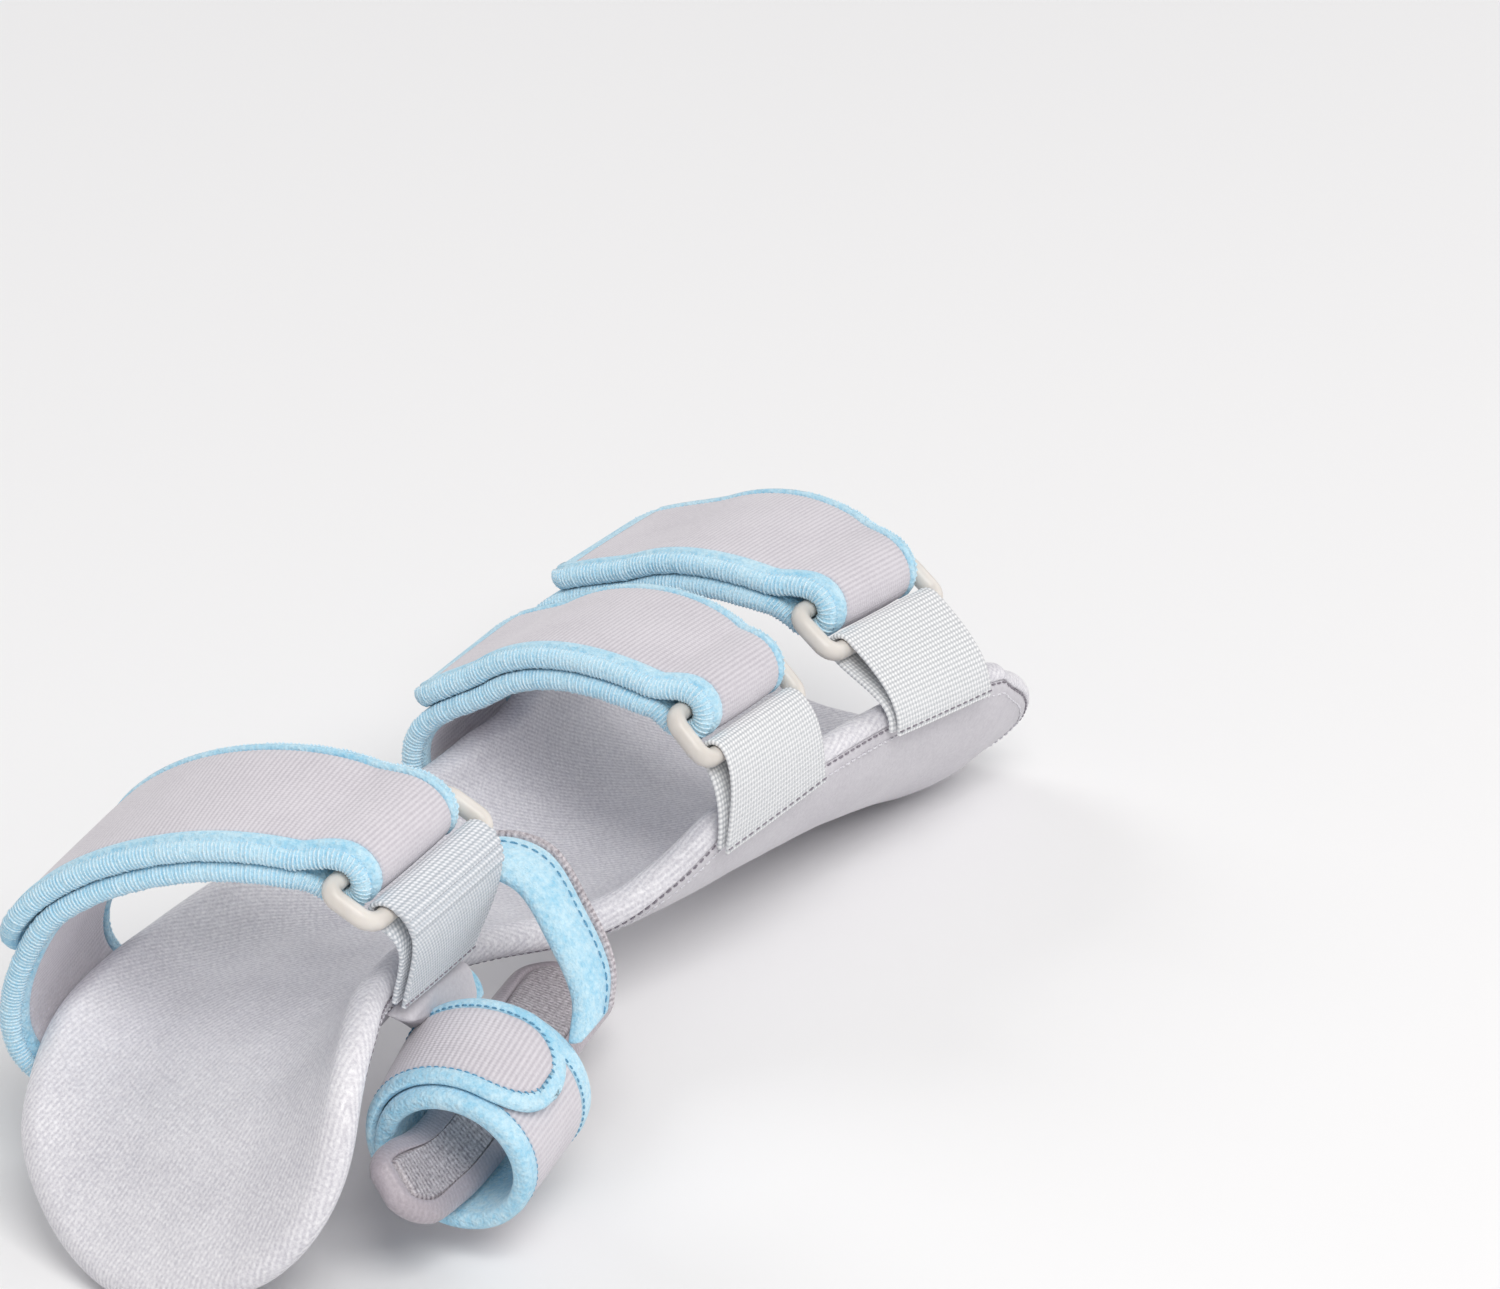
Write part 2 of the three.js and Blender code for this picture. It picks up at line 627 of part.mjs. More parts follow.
function webbingSolid(strap) {
  const ring = ringPlace(strap, strapFrame(strap));
  const half = ringStrapWidth / 2;
  const sewn = sewnLine(strap.webbedAt, -1, seamWidth + 1, half);
  const layer = webbingThickness + gap;
  const outerStart = moved(sewn.place, sewn.out, 2 * layer + gap);
  const innerEnd = moved(sewn.place, sewn.out, layer + gap);
  const outerTop = moved(ring.lowerBar, ring.out, barRadius);
  const innerTop = moved(ring.lowerBar, ring.out, -barRadius);
  const reach = outerStart.distanceTo(outerTop) / 3;
  const sewnWidth = sewn.along.clone().setLength(half);
  const ringWidth = ring.width.clone().setLength(half);
  const rise = bezier(
    outerStart, moved(outerStart, sewn.outline, reach), moved(outerTop, ring.ahead, reach), outerTop, 4,
  );
  const fall = bezier(
    innerTop, moved(innerTop, ring.ahead, reach), moved(innerEnd, sewn.outline, reach), innerEnd, 4,
  );
  const fold = [];
  for (let i = 1; i < 5; i += 1) {
    const turn = (i / 5) * Math.PI;
    const place = moved(moved(ring.lowerBar, ring.out, barRadius * Math.cos(turn)), ring.ahead, -barRadius * Math.sin(turn));
    fold.push({ place, width: ringWidth.clone() });
  }
  const stations = [...blend(rise, sewnWidth, ringWidth), ...fold, ...blend(fall, ringWidth, sewnWidth)];
  return sweep(stations.map((station) => ({ ...station, half })), plateProfile(0, webbingThickness), false);
}

// Thumb sleeve: a cone round the thumb and its tongue
const cuffTip = vec(-157, -49, 0);
const cuffRoot = vec(-121, -43, 8);
const cuffCone = 1;
const cuffFace = 0.9;
const cuffBorder = 6;
const cuffBody = cuffThickness - gap - cuffFace;
const tabFace = 0.8;
const tabBody = 2;
const tabBorder = 4;

function cuffStations(radius, from, to, count) {
  const axis = cuffRoot.clone().sub(cuffTip);
  const half = axis.length() / 2;
  const along = axis.clone().normalize();
  const rise = vec(0, 0, 1).addScaledVector(along, -along.z).normalize();
  const side = along.clone().cross(rise);
  const centre = cuffTip.clone().lerp(cuffRoot, 0.5);
  const stations = [];
  for (let i = 0; i < count; i += 1) {
    const angle = mix(from, to, i / (to - from === 360 ? count : count - 1)) * degrees;
    const out = side.clone().multiplyScalar(Math.cos(angle)).addScaledVector(rise, Math.sin(angle));
    const width = moved(along.clone().multiplyScalar(half), out, cuffCone);
    stations.push({ place: moved(centre, out, radius), width, half, closedEnd: false });
  }
  return stations;
}

// Fastening tab over the sleeve, with a round end on the near side
const tabTable = { from: 28, to: 200, width: 31, clearance: 0.4 };

function tabStations() {
  const radius = cuffRadius + tabTable.clearance;
  const around = cuffStations(radius, tabTable.from, tabTable.to, 16);
  const half = tabTable.width / 2;
  const split = [0.12, 0.3, 0.6].map((share) => ({
    ...around[0],
    place: around[0].place.clone().lerp(around[1].place, share),
    width: around[0].width.clone().lerp(around[1].width, share),
  }));
  const stations = measured([around[0], ...split, ...around.slice(1)]);
  return stations.map((station) => ({
    ...station,
    half: half * mix(0.4, 1, rounding(station.fromStart, half)),
    closedEnd: station.fromStart < tabBorder,
  }));
}

// Web flap: from behind the hand ring down to the sleeve
const flapRows = [
  { x: -111, y: -19, z: 43, half: 7 },
  { x: -107.5, y: -27, z: 56, half: 7.5 },
  { x: -103.3, y: -38, z: 54, half: 8 },
  { x: -106, y: -50, z: 43, half: 8 },
  { x: -109.5, y: -59, z: 31, half: 8 },
  { x: -115, y: -61.6, z: 22.5, half: 8 },
];
const flapWidth = vec(-0.95, -0.1, -0.12);
const flapBody = 2.4;
const flapFace = 1.2;
const flapRim = 3;

function flapStations() {
  const curve = new THREE.CatmullRomCurve3(flapRows.map((row) => vec(row.x, row.y, row.z)));
  const count = 14;
  return curve.getPoints(count).map((place, i) => {
    const share = (i / count) * (flapRows.length - 1);
    const row = Math.min(Math.floor(share), flapRows.length - 2);
    const half = mix(flapRows[row].half, flapRows[row + 1].half, share - row);
    return { place, width: flapWidth, half };
  });
}

const pieces = [];

function addPiece(name, geometry, finish) {
  const mesh = new THREE.Mesh(geometry, new THREE.MeshStandardMaterial({ metalness: 0, ...finish }));
  mesh.name = name;
  pieces.push(mesh);
}

const finishes = {
  cover: { color: 0xc8c6ce, roughness: 0.7 },
  satin: { color: 0xe4e5ea, roughness: 0.4 },
  terry: { color: 0xaedcf2, roughness: 0.95 },
  knit: { color: 0xcfcad0, roughness: 0.9 },
  webbing: { color: 0xdfe2e6, roughness: 0.45 },
  plastic: { color: 0xc9c4be, roughness: 0.4 },
};

addPiece('outer_cover', sheetSolid(board, 'cover', boardThickness, boardGrid), finishes.cover);
addPiece('inner_lining', sheetSolid(board, 'lining', boardThickness, boardGrid), finishes.satin);
addPiece('thumb_cover', sheetSolid(thumb, 'cover', thumbThickness, thumbGrid), finishes.cover);
addPiece('thumb_lining', sheetSolid(thumb, 'lining', thumbThickness, thumbGrid), finishes.satin);

for (const strap of straps) {
  const stations = shaped(strapPath(strap), strap.tailRound);
  const covered = stations.filter((s) => s.fromStart > 3 && s.fromEnd > strapBorder + 0.2);
  addPiece(`${strap.name}_strap`, sweep(stations, bandProfile(strapBody, faceThickness, strapBorder), false), finishes.terry);
  addPiece(`${strap.name}_strap_face`, sweep(covered, panelProfile(strapBody, faceThickness, strapBorder), false), finishes.knit);
  addPiece(`${strap.name}_ring`, ringSolid(strap), finishes.plastic);
  addPiece(`${strap.name}_webbing`, webbingSolid(strap), finishes.webbing);
}

const cuffInner = cuffRadius - cuffThickness;
addPiece('thumb_cuff', sweep(cuffStations(cuffInner, 0, 360, 26), bandProfile(cuffBody, cuffFace, cuffBorder), true), finishes.terry);
addPiece('cuff_face', sweep(cuffStations(cuffInner, 0, 360, 26), panelProfile(cuffBody, cuffFace, cuffBorder), true), finishes.knit);

addPiece('cuff_tab', sweep(tabStations(), bandProfile(tabBody, tabFace, tabBorder), false), finishes.terry);
const tabCovered = tabStations().filter((s) => s.fromStart > tabBorder + 0.3);
addPiece('cuff_tab_face', sweep(tabCovered, panelProfile(tabBody, tabFace, tabBorder), false), finishes.knit);
addPiece('web_flap', sweep(flapStations(), plateProfile(gap / 2, flapBody), false), finishes.terry);
addPiece('web_flap_lining', sweep(flapStations(), plateProfile(-flapFace, -gap / 2, flapRim), false), finishes.satin);

const splint = new THREE.Group();
splint.add(...pieces);
splint.rotation.y = restTilt;
splint.updateMatrixWorld(true);
const box = new THREE.Box3().setFromObject(splint, true);
const middle = box.getCenter(new THREE.Vector3());
splint.position.set(-middle.x, -middle.y, -box.min.z);

export default splint;
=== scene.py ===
# Resting hand splint for the right hand, resting on a table.
# Shapes are worked out in millimetres in the arm's own frame: x runs from the
# fingertips to the elbow with 0 at the wrist ring, -y is the thumb side, z is up.
import math

import bpy
import numpy as np
from mathutils import Matrix, Vector, noise


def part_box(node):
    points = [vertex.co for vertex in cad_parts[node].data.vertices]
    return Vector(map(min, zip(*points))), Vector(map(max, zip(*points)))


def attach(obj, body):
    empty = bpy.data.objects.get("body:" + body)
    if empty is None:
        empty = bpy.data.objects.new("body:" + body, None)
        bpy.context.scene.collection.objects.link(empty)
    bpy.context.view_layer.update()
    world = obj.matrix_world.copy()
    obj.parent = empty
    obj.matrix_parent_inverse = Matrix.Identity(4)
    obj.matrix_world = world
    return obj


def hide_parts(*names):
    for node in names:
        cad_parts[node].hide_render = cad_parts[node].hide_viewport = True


print("stage: loading the frame")
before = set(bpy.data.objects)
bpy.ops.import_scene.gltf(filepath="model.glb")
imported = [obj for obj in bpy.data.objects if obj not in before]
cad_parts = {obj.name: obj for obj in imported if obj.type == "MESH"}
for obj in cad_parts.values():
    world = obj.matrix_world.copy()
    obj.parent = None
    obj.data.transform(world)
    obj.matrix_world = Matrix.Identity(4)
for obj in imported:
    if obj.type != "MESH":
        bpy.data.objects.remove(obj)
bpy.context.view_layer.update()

general = {
    "gap": 0.3,  # between pieces that touch
    "forearmReach": 127,
    "handReach": 201.5,
    "tipDrop": 30,
    "palmShift": 19,
    "wingArc": 77,
    "steepestRest": 20,  # degrees, where the search for the rest tilt starts
}


def vec(x, y, z):
    return np.array([x, y, z], float)


def unit(v):
    return v / np.linalg.norm(v)


def mix(a, b, share):
    return a + (b - a) * share


def clamp(value, low, high):
    return min(max(value, low), high)


def smooth(share):
    t = clamp(share, 0, 1)
    return t * t * (3 - 2 * t)


# 0 at an edge, 1 past the radius, round between them
def rounding(distance, radius):
    left = 1 - clamp(distance / radius, 0, 1)
    return math.sqrt(1 - left * left)


# two directions turned by an angle in the plane they lie in
def turned(first, second, angle):
    cos, sin = math.cos(angle), math.sin(angle)
    return first * cos - second * sin, second * cos + first * sin


def runOf(places):
    steps = np.linalg.norm(np.diff(places, axis=0), axis=1)
    return np.concatenate([[0], np.cumsum(steps)])


def noiseOf(x, y, z):
    return noise.noise(Vector((x, y, z)))


# smooth curve through one column of a table, without overshoot
def columnAt(rows, column, at):
    xs = [row["x"] for row in rows]
    ys = [row[column] for row in rows]
    last = len(xs) - 1
    slopes = [(ys[i + 1] - ys[i]) / (xs[i + 1] - xs[i]) for i in range(last)]

    def tangent(i):
        if i == 0 or i == last:
            return slopes[min(i, last - 1)]
        before, after = slopes[i - 1], slopes[i]
        return 0 if before * after <= 0 else 2 * before * after / (before + after)

    x = clamp(at, xs[0], xs[last])
    i = 0
    while i < last - 1 and x > xs[i + 1]:
        i += 1
    width = xs[i + 1] - xs[i]
    t = (x - xs[i]) / width
    rise = (1 + 2 * t) * (1 - t) ** 2 * ys[i] + t * (1 - t) ** 2 * width * tangent(i)
    return rise + t * t * (3 - 2 * t) * ys[i + 1] + t * t * (t - 1) * width * tangent(i + 1)


# A padded sheet is a path with a curved section across it. A station is one
# section: where it is, its directions, its flat middle and its two wings.
def makeSheet(rows, edgeShape, lift):
    xs = np.linspace(rows[0]["x"], rows[-1]["x"], 241)

    def centre(x):
        return vec(x, columnAt(rows, "y", x), columnAt(rows, "z", x) + lift(x))

    lengths = runOf(np.array([centre(x) for x in xs]))
    return {
        "rows": rows, "xs": xs, "lengths": lengths, "length": lengths[-1],
        "centre": centre, "edgeShape": edgeShape, "softReach": 7,
    }


def edgeAt(sheet, distance, sign):
    x = float(np.interp(distance, sheet["lengths"], sheet["xs"]))
    full = columnAt(sheet["rows"], "near" if sign < 0 else "far", x)
    return float(sheet["edgeShape"](full, distance, sheet["length"]))


# how much longer a slanting edge is than the path beside it
def edgeShear(sheet, distance, sign):
    reach = 0.4
    ahead = edgeAt(sheet, min(distance + reach, sheet["length"]), sign)
    behind = edgeAt(sheet, max(distance - reach, 0), sign)
    return math.hypot(1, (ahead - behind) / (2 * reach))


def stationAt(sheet, distance):
    rows, xs, reach = sheet["rows"], sheet["xs"], sheet["softReach"]
    x = float(np.interp(distance, sheet["lengths"], xs))
    before = sheet["centre"](max(x - reach, xs[0]))
    along = unit(sheet["centre"](min(x + reach, xs[-1])) - before)
    level = unit(vec(0, 1, 0) - along * along[1])
    side, normal = turned(level, np.cross(along, level), math.radians(columnAt(rows, "roll", x)))
    station = {"centre": sheet["centre"](x), "along": along, "side": side, "normal": normal}
    station["flat"] = columnAt(rows, "flat", x)
    for sign, name in ((-1, "near"), (1, "far")):
        bend = math.radians(columnAt(rows, name + "Bend", x))
        curvature = bend / (columnAt(rows, name, x) - station["flat"])
        station[sign] = {"edge": edgeAt(sheet, distance, sign), "curvature": curvature}
    return station


def onStation(station, arc, offset):
    sign = -1 if arc < 0 else 1
    curvature = station[sign]["curvature"]
    turn = max(abs(arc) - station["flat"], 0) * curvature
    across = min(abs(arc), station["flat"]) + math.sin(turn) / curvature
    height = (1 - math.cos(turn)) / curvature
    outward = station["side"] * sign
    inward, outline = turned(station["normal"], outward, turn)
    place = station["centre"] + outward * across + station["normal"] * height
    return place + inward * offset, inward, outline


def rimPoint(sheet, x, sign, inset, offset=0):
    station = stationAt(sheet, float(np.interp(x, sheet["xs"], sheet["lengths"])))
    place, _, outline = onStation(station, sign * (station[sign]["edge"] - inset), offset)
    return place, outline


board = {
    "thickness": 9,
    "seam": 3.9,  # the lining is rolled over the edge this far
    "seamDip": 0.75,  # the seam draws both cloths in
    "seamReach": 0.75,
    "heelFlat": 26,
    "cornerRadius": 36,
    "tipRound": 54,
    "tipShare": 0.2,
    "rolledPart": "lining",
    "rolledInsets": (0, 0.3, 0.8, 1.5, 2.3, 3.0, 3.4, 3.7, 3.9),
    "sunkInsets": (3.9, 4.1, 4.4, 4.8, 5.4, 6.4, 8.0),
    "rowStep": 2.6,
    "columns": 46,
    "softness": 0.42,  # height of the padding's unevenness
    "pucker": 0.22,  # height of the small pulls beside the seam
    "puckerPitch": 7.5,
}

# reach is a share of the hand's or forearm's reach, shift of the palm's shift,
# rise of the tip's drop, near and far of the wing's arc
boardNames = ("reach", "shift", "rise", "roll", "flat", "near", "nearBend", "far", "farBend")
boardShares = (
    (-1.0, -0.3, -1.0, 8, 9, 0.68, 12, 0.58, 12),
    (-0.925, 0.1, -0.46, 10, 10, 0.74, 28, 0.65, 28),
    (-0.84, 0.5, 0.02, 12, 14, 0.77, 48, 0.7, 44),
    (-0.74, 0.85, 0.28, 11, 18, 0.76, 66, 0.7, 56),
    (-0.62, 0.95, 0.36, 10, 20, 0.74, 76, 0.69, 60),
    (-0.55, 0.92, 0.36, 9, 18, 0.7, 74, 0.69, 62),
    (-0.49, 0.84, 0.34, 8, 12, 0.38, 28, 0.68, 64),
    (-0.42, 0.72, 0.31, 6, 11, 0.31, 18, 0.69, 68),
    (-0.345, 0.58, 0.26, 4, 11, 0.33, 18, 0.71, 72),
    (-0.22, 0.3, 0.14, 0, 10, 0.43, 35, 0.75, 80),
    (-0.14, 0.15, 0.06, 0, 8, 0.62, 66, 0.79, 86),
    (-0.06, 0.05, 0.01, 0, 6, 0.78, 84, 0.82, 88),
    (0.04, 0, 0, 0, 6, 0.83, 88, 0.83, 88),
    (0.28, 0, -0.02, 0, 7.5, 0.94, 88, 0.94, 88),
    (0.55, 0, -0.15, 0, 8.5, 1.05, 88, 1.05, 88),
    (0.79, 0, -0.33, 0, 9, 1.09, 86, 1.08, 86),
    (1.0, 0, -0.33, 0, 9, 1.08, 80, 1.06, 80),
)
boardRows = [dict(zip(boardNames, values)) for values in boardShares]
for row in boardRows:
    row["x"] = row["reach"] * general["handReach" if row["reach"] < 0 else "forearmReach"]
    row["y"] = row["shift"] * general["palmShift"]
    row["z"] = row["rise"] * general["tipDrop"]
    row["near"] *= general["wingArc"]
    row["far"] *= general["wingArc"]


def boardEdge(full, distance, length):
    tip = mix(board["tipShare"], 1, rounding(distance, board["tipRound"]))
    corner = board["cornerRadius"]
    return full * tip - corner * (1 - rounding(length - distance, corner))


def boardSheet(heelAngle):
    heelStart = general["forearmReach"] - board["heelFlat"]
    return makeSheet(boardRows, boardEdge, lambda x: max(x - heelStart, 0) * math.tan(heelAngle))


def lowest(sheet, start, stop, tilt):
    low = math.inf
    for distance in np.linspace(start, stop, 13):
        station = stationAt(sheet, distance)
        for arc in (-12, 0, 12):
            place = onStation(station, arc, 0)[0]
            low = min(low, place[2] * math.cos(tilt) - place[0] * math.sin(tilt))
    return low


# the board rests on its heel and on the tip of its finger pan
def findRestTilt():
    small, large = 0, math.radians(general["steepestRest"])
    for _ in range(14):
        tilt = (small + large) / 2
        sheet = boardSheet(tilt)
        tip = lowest(sheet, 0, board["tipRound"], tilt)
        heel = lowest(sheet, sheet["length"] - board["heelFlat"], sheet["length"] - 4, tilt)
        small, large = (tilt, large) if tip < heel else (small, tilt)
    return (small + large) / 2


print("stage: finding how the board rests")
restTilt = findRestTilt()
boardForm = boardSheet(restTilt)
restTurn = np.array(Matrix.Rotation(restTilt, 3, "Y"))

band = {
    "body": 4.2,
    "full": 5.5,
    "ringLength": 52,
    "ringHeight": 19,
    "ringCorner": 5,
    "rod": 5,
    "webbing": 1.2,
    "mergeAngle": 26,
    "sectionStep": 2,
    "tailSoftEnd": 3,
}
barSpread = band["ringHeight"] - band["rod"]
barRadius = band["rod"] / 2 + 2 * general["gap"]
ringStrapWidth = band["ringLength"] - 2 * band["rod"] - 3

straps = {
    "forearm": {
        "centre": vec(71, -2, 38), "turns": (-3, 0, 0), "a": 43, "c": 31, "nearFlare": 1.5, "farFlare": 1,
        "ringAngle": 136, "tailAngle": None, "tailStart": 26, "tailRound": 9, "sewnAt": 67, "webbedAt": 61,
        "topWidth": 56, "sewnInset": 11, "standOff": 1.1, "climb": 27, "lead": 14, "joinAngle": 55,
    },
    "wrist": {
        "centre": vec(1, -3, 43), "turns": (0, 0, 0), "a": 38, "c": 25.5, "nearFlare": 0, "farFlare": 0,
        "ringAngle": 146, "tailAngle": None, "tailStart": 26, "tailRound": 9, "sewnAt": 2, "webbedAt": 1,
        "topWidth": 52, "sewnInset": 11, "standOff": 2.7, "climb": 29, "lead": 12, "joinAngle": 42,
    },
    "hand": {
        "centre": vec(-142, 16, 41), "turns": (12, 8, 15), "a": 53, "c": 33, "nearFlare": 7, "farFlare": -7,
        "ringAngle": 152, "tailAngle": 8, "tailStart": 0, "tailRound": 20, "sewnAt": -142, "webbedAt": -133,
        "topWidth": 50, "sewnInset": 6, "standOff": 0.4, "climb": 20, "lead": 12, "joinAngle": 42,
    },
}


# place on the line between a strap's two layers, 0 far, 90 top, 180 near
def onSection(strap, angle):
    yaw, pitch, roll = (math.radians(turn) for turn in strap["turns"])
    along = vec(math.cos(yaw) * math.cos(pitch), math.sin(yaw) * math.cos(pitch), math.sin(pitch))
    level = vec(-math.sin(yaw), math.cos(yaw), 0)
    side, rise = turned(level, np.cross(along, level), roll)
    cos, sin = math.cos(math.radians(angle)), math.sin(math.radians(angle))
    a, c = strap["a"], strap["c"]
    share = math.sin(clamp((strap["ringAngle"] - angle) / 60, 0, 1) * math.pi / 2)
    half = mix(ringStrapWidth, strap["topWidth"], share) / 2
    flare = (strap["nearFlare"] if cos < 0 else strap["farFlare"]) * cos
    return {
        "place": strap["centre"] + side * a * cos + rise * c * sin,
        "ahead": unit(rise * c * cos - side * a * sin),
        "out": unit(side * c * cos + rise * a * sin),
        "width": unit(along * half + side * flare) * half,
    }


def ringPlace(strap):
    at = onSection(strap, strap["ringAngle"])
    reach = at["ahead"] * barSpread / 2
    return {**at, "upperBar": at["place"] - reach, "lowerBar": at["place"] + reach}


# line on the outside of the board that a band is sewn along
def sewnLine(x, sign, inset, half):
    middle, outline = rimPoint(boardForm, x, sign, inset)
    ends = [rimPoint(boardForm, x + half * side, sign, inset)[0] for side in (-1, 1)]
    along = unit(ends[1] - ends[0])
    level = unit(outline - along * np.dot(outline, along))
    out = unit(np.cross(along, level) * -sign)
    bulge = 0
    for share in np.linspace(-1, 1, 11):
        for higher in (-4, 0, 4, 8):
            place, _ = rimPoint(boardForm, x + half * share, sign, inset - min(higher, inset))
            bulge = max(bulge, float(np.dot(place - middle, out)))
    return {"place": middle + out * bulge, "out": out, "along": along, "outline": level}


def bezier(a, b, c, d, count):
    t = np.linspace(0, 1, count + 1)[:, None]
    return a * (1 - t) ** 3 + b * 3 * t * (1 - t) ** 2 + c * 3 * t * t * (1 - t) + d * t ** 3


def blend(points, start, end):
    last = len(points) - 1
    return [{"place": place, "width": mix(start, end, i / last)} for i, place in enumerate(points)]


# adds to each station its direction and its distance from both ends
def measured(stations, closed=False):
    count = len(stations)
    run = 0
    for i, station in enumerate(stations):
        before = stations[(i - 1) % count if closed else max(i - 1, 0)]["place"]
        after = stations[(i + 1) % count if closed else min(i + 1, count - 1)]["place"]
        if i:
            run += float(np.linalg.norm(station["place"] - stations[i - 1]["place"]))
        station["travel"] = unit(after - before)
        station["fromStart"] = run
    for station in stations:
        station["fromEnd"] = run - station["fromStart"]
    return stations


def axesOf(station):
    width = unit(station["width"])
    return width, unit(np.cross(width, station["travel"]))


def softened(values, spread):
    reach = int(spread * 3)
    if reach < 1:
        return values
    weights = np.exp(-0.5 * (np.arange(-reach, reach + 1) / spread) ** 2)
    before = 2 * values[0] - values[reach:0:-1]
    after = 2 * values[-1] - values[-2:-reach - 2:-1]
    padded = np.concatenate([before, values, after])
    return np.array([np.convolve(padded[:, k], weights / weights.sum(), "valid") for k in range(3)]).T


# even steps along the outside of a band, so ribs keep their pitch round a bend
def resampled(stations, step, height=0):
    measured(stations)
    runs = runOf(np.array([s["place"] + axesOf(s)[1] * height for s in stations]))
    even = np.linspace(0, runs[-1], max(int(round(runs[-1] / step)), 2) + 1)
    rows = []
    for key, spread in (("place", 0.7), ("width", 3)):
        values = np.array([station[key] for station in stations])
        values = np.array([np.interp(even, runs, values[:, k]) for k in range(3)]).T
        rows.append(softened(values, spread / step))
    return measured([{"place": p, "width": w, "outerRun": run} for p, w, run in zip(*rows, even)])


def contactLine(strap, leave):
    sewn = sewnLine(strap["sewnAt"], 1, strap["sewnInset"], strap["topWidth"] / 2)
    start = sewn["place"] + sewn["out"] * (band["full"] + strap["standOff"])
    join = onSection(strap, strap["joinAngle"])
    handle = join["place"] - join["ahead"] * strap["lead"]
    climb = bezier(start, start + sewn["outline"] * strap["climb"], handle, join["place"], 40)
    stations = blend(climb, sewn["along"] * strap["topWidth"] / 2, join["width"])
    step = band["sectionStep"]
    stations += [onSection(strap, angle) for angle in np.arange(strap["joinAngle"] + step, leave - 1, step)]
    stations.append(onSection(strap, leave))
    for station in measured(stations):
        station["out"] = -axesOf(station)[1]
    return stations


def layer(stations, offset):
    return [{"place": s["place"] + s["out"] * offset, "width": s["width"]} for s in stations]


def turnRound(centre, out, ahead, width):
    turns = np.linspace(0, math.pi, 25)[1:-1]
    places = [centre + (ahead * math.sin(turn) - out * math.cos(turn)) * barRadius for turn in turns]
    return blend(places, width, width)


# up from the far wing, round the ring's bar and back over itself
def strapPath(strap):
    ring = ringPlace(strap)
    leave = strap["ringAngle"] - band["mergeAngle"]
    contact = contactLine(strap, leave)
    parting = contact.pop()
    half = general["gap"] / 2
    inner = ring["upperBar"] - ring["out"] * barRadius
    reach = np.linalg.norm(inner - parting["place"] + parting["out"] * half) / 3

    def toRing(side):
        start = parting["place"] + parting["out"] * half * side
        end = ring["upperBar"] + ring["out"] * barRadius * side
        return bezier(start, start + parting["travel"] * reach, end - ring["ahead"] * reach, end, 16)

    if strap["tailAngle"] is None:
        limit = parting["fromStart"] - strap["tailStart"]
        tail = [station for station in contact if station["fromEnd"] < limit][::-1]
    else:
        count = int((leave - strap["tailAngle"]) / band["sectionStep"])
        tail = [onSection(strap, angle) for angle in np.linspace(leave, strap["tailAngle"], count)[1:]]
    stations = layer(contact, -half) + blend(toRing(-1), parting["width"], ring["width"])
    stations += turnRound(ring["upperBar"], ring["out"], ring["ahead"], ring["width"])
    return stations + blend(toRing(1)[::-1], ring["width"], parting["width"]) + layer(tail, half)


# rounded rectangle through the middle of the ring's rod
def ringPath(strap, steps):
    ring = ringPlace(strap)
    corner = band["ringCorner"] - band["rod"] / 4
    reachX = (band["ringLength"] - band["rod"]) / 2 - corner
    reachY = barSpread / 2 - corner
    stations = []
    for quarter, (signX, signY) in enumerate(((1, 1), (-1, 1), (-1, -1), (1, -1))):
        for angle in np.radians(np.linspace(quarter * 90, quarter * 90 + 90, steps + 1)):
            x = signX * reachX + corner * math.cos(angle)
            y = signY * reachY + corner * math.sin(angle)
            place = ring["place"] + unit(ring["width"]) * x + ring["ahead"] * y
            stations.append({"place": place, "width": ring["out"]})
    return stations


# the wrist ring is in the frame and in the arm's frame, and says where the one lies in the other
def findRestPlace():
    low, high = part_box("wrist_ring")
    middle = np.array((low + high) / 2) * 1000
    places = np.array([station["place"] for station in ringPath(straps["wrist"], 8)]) @ restTurn.T
    return middle - (places.min(axis=0) + places.max(axis=0)) / 2


restPlace = findRestPlace()


def onTable(points):
    return (np.asarray(points) @ restTurn.T + restPlace) / 1000


print("stage: materials")


def sRgb(*colour):
    return tuple(((c / 255 + 0.055) / 1.055) ** 2.4 for c in colour) + (1,)


def node(tree, kind, inputs=None, **settings):
    made = tree.nodes.new(kind)
    for key, value in settings.items():
        setattr(made, key, value)
    for key, value in (inputs or {}).items():
        made.inputs[key].default_value = value
    return made


def newMaterial(name, values):
    material = bpy.data.materials.new(name)
    material.use_nodes = True
    tree = material.node_tree
    node(tree, "ShaderNodeTexCoord", name="place")
    for key, value in values.items():
        tree.nodes["Principled BSDF"].inputs[key].default_value = value
    return tree


def toShader(tree, source, socket):
    tree.links.new(source, tree.nodes["Principled BSDF"].inputs[socket])


def textureAt(tree, kind, inputs):
    made = node(tree, kind, inputs)
    tree.links.new(tree.nodes["place"].outputs["Object"], made.inputs["Vector"])
    return made.outputs


def noiseAt(tree, scale, detail=3, roughness=0.55):
    inputs = {"Scale": scale, "Detail": detail, "Roughness": roughness}
    return textureAt(tree, "ShaderNodeTexNoise", inputs)["Fac"]


def rangeOf(tree, value, low, high, toLow=0, toHigh=1):
    inputs = {"From Min": low, "From Max": high, "To Min": toLow, "To Max": toHigh}
    made = node(tree, "ShaderNodeMapRange", inputs)
    tree.links.new(value, made.inputs["Value"])
    return made.outputs["Result"]


def mathOf(tree, operation, *values):
    made = node(tree, "ShaderNodeMath", operation=operation)
    for socket, value in zip(made.inputs, values):
        if isinstance(value, (int, float)):
            socket.default_value = value
        else:
            tree.links.new(value, socket)
    return made.outputs["Value"]


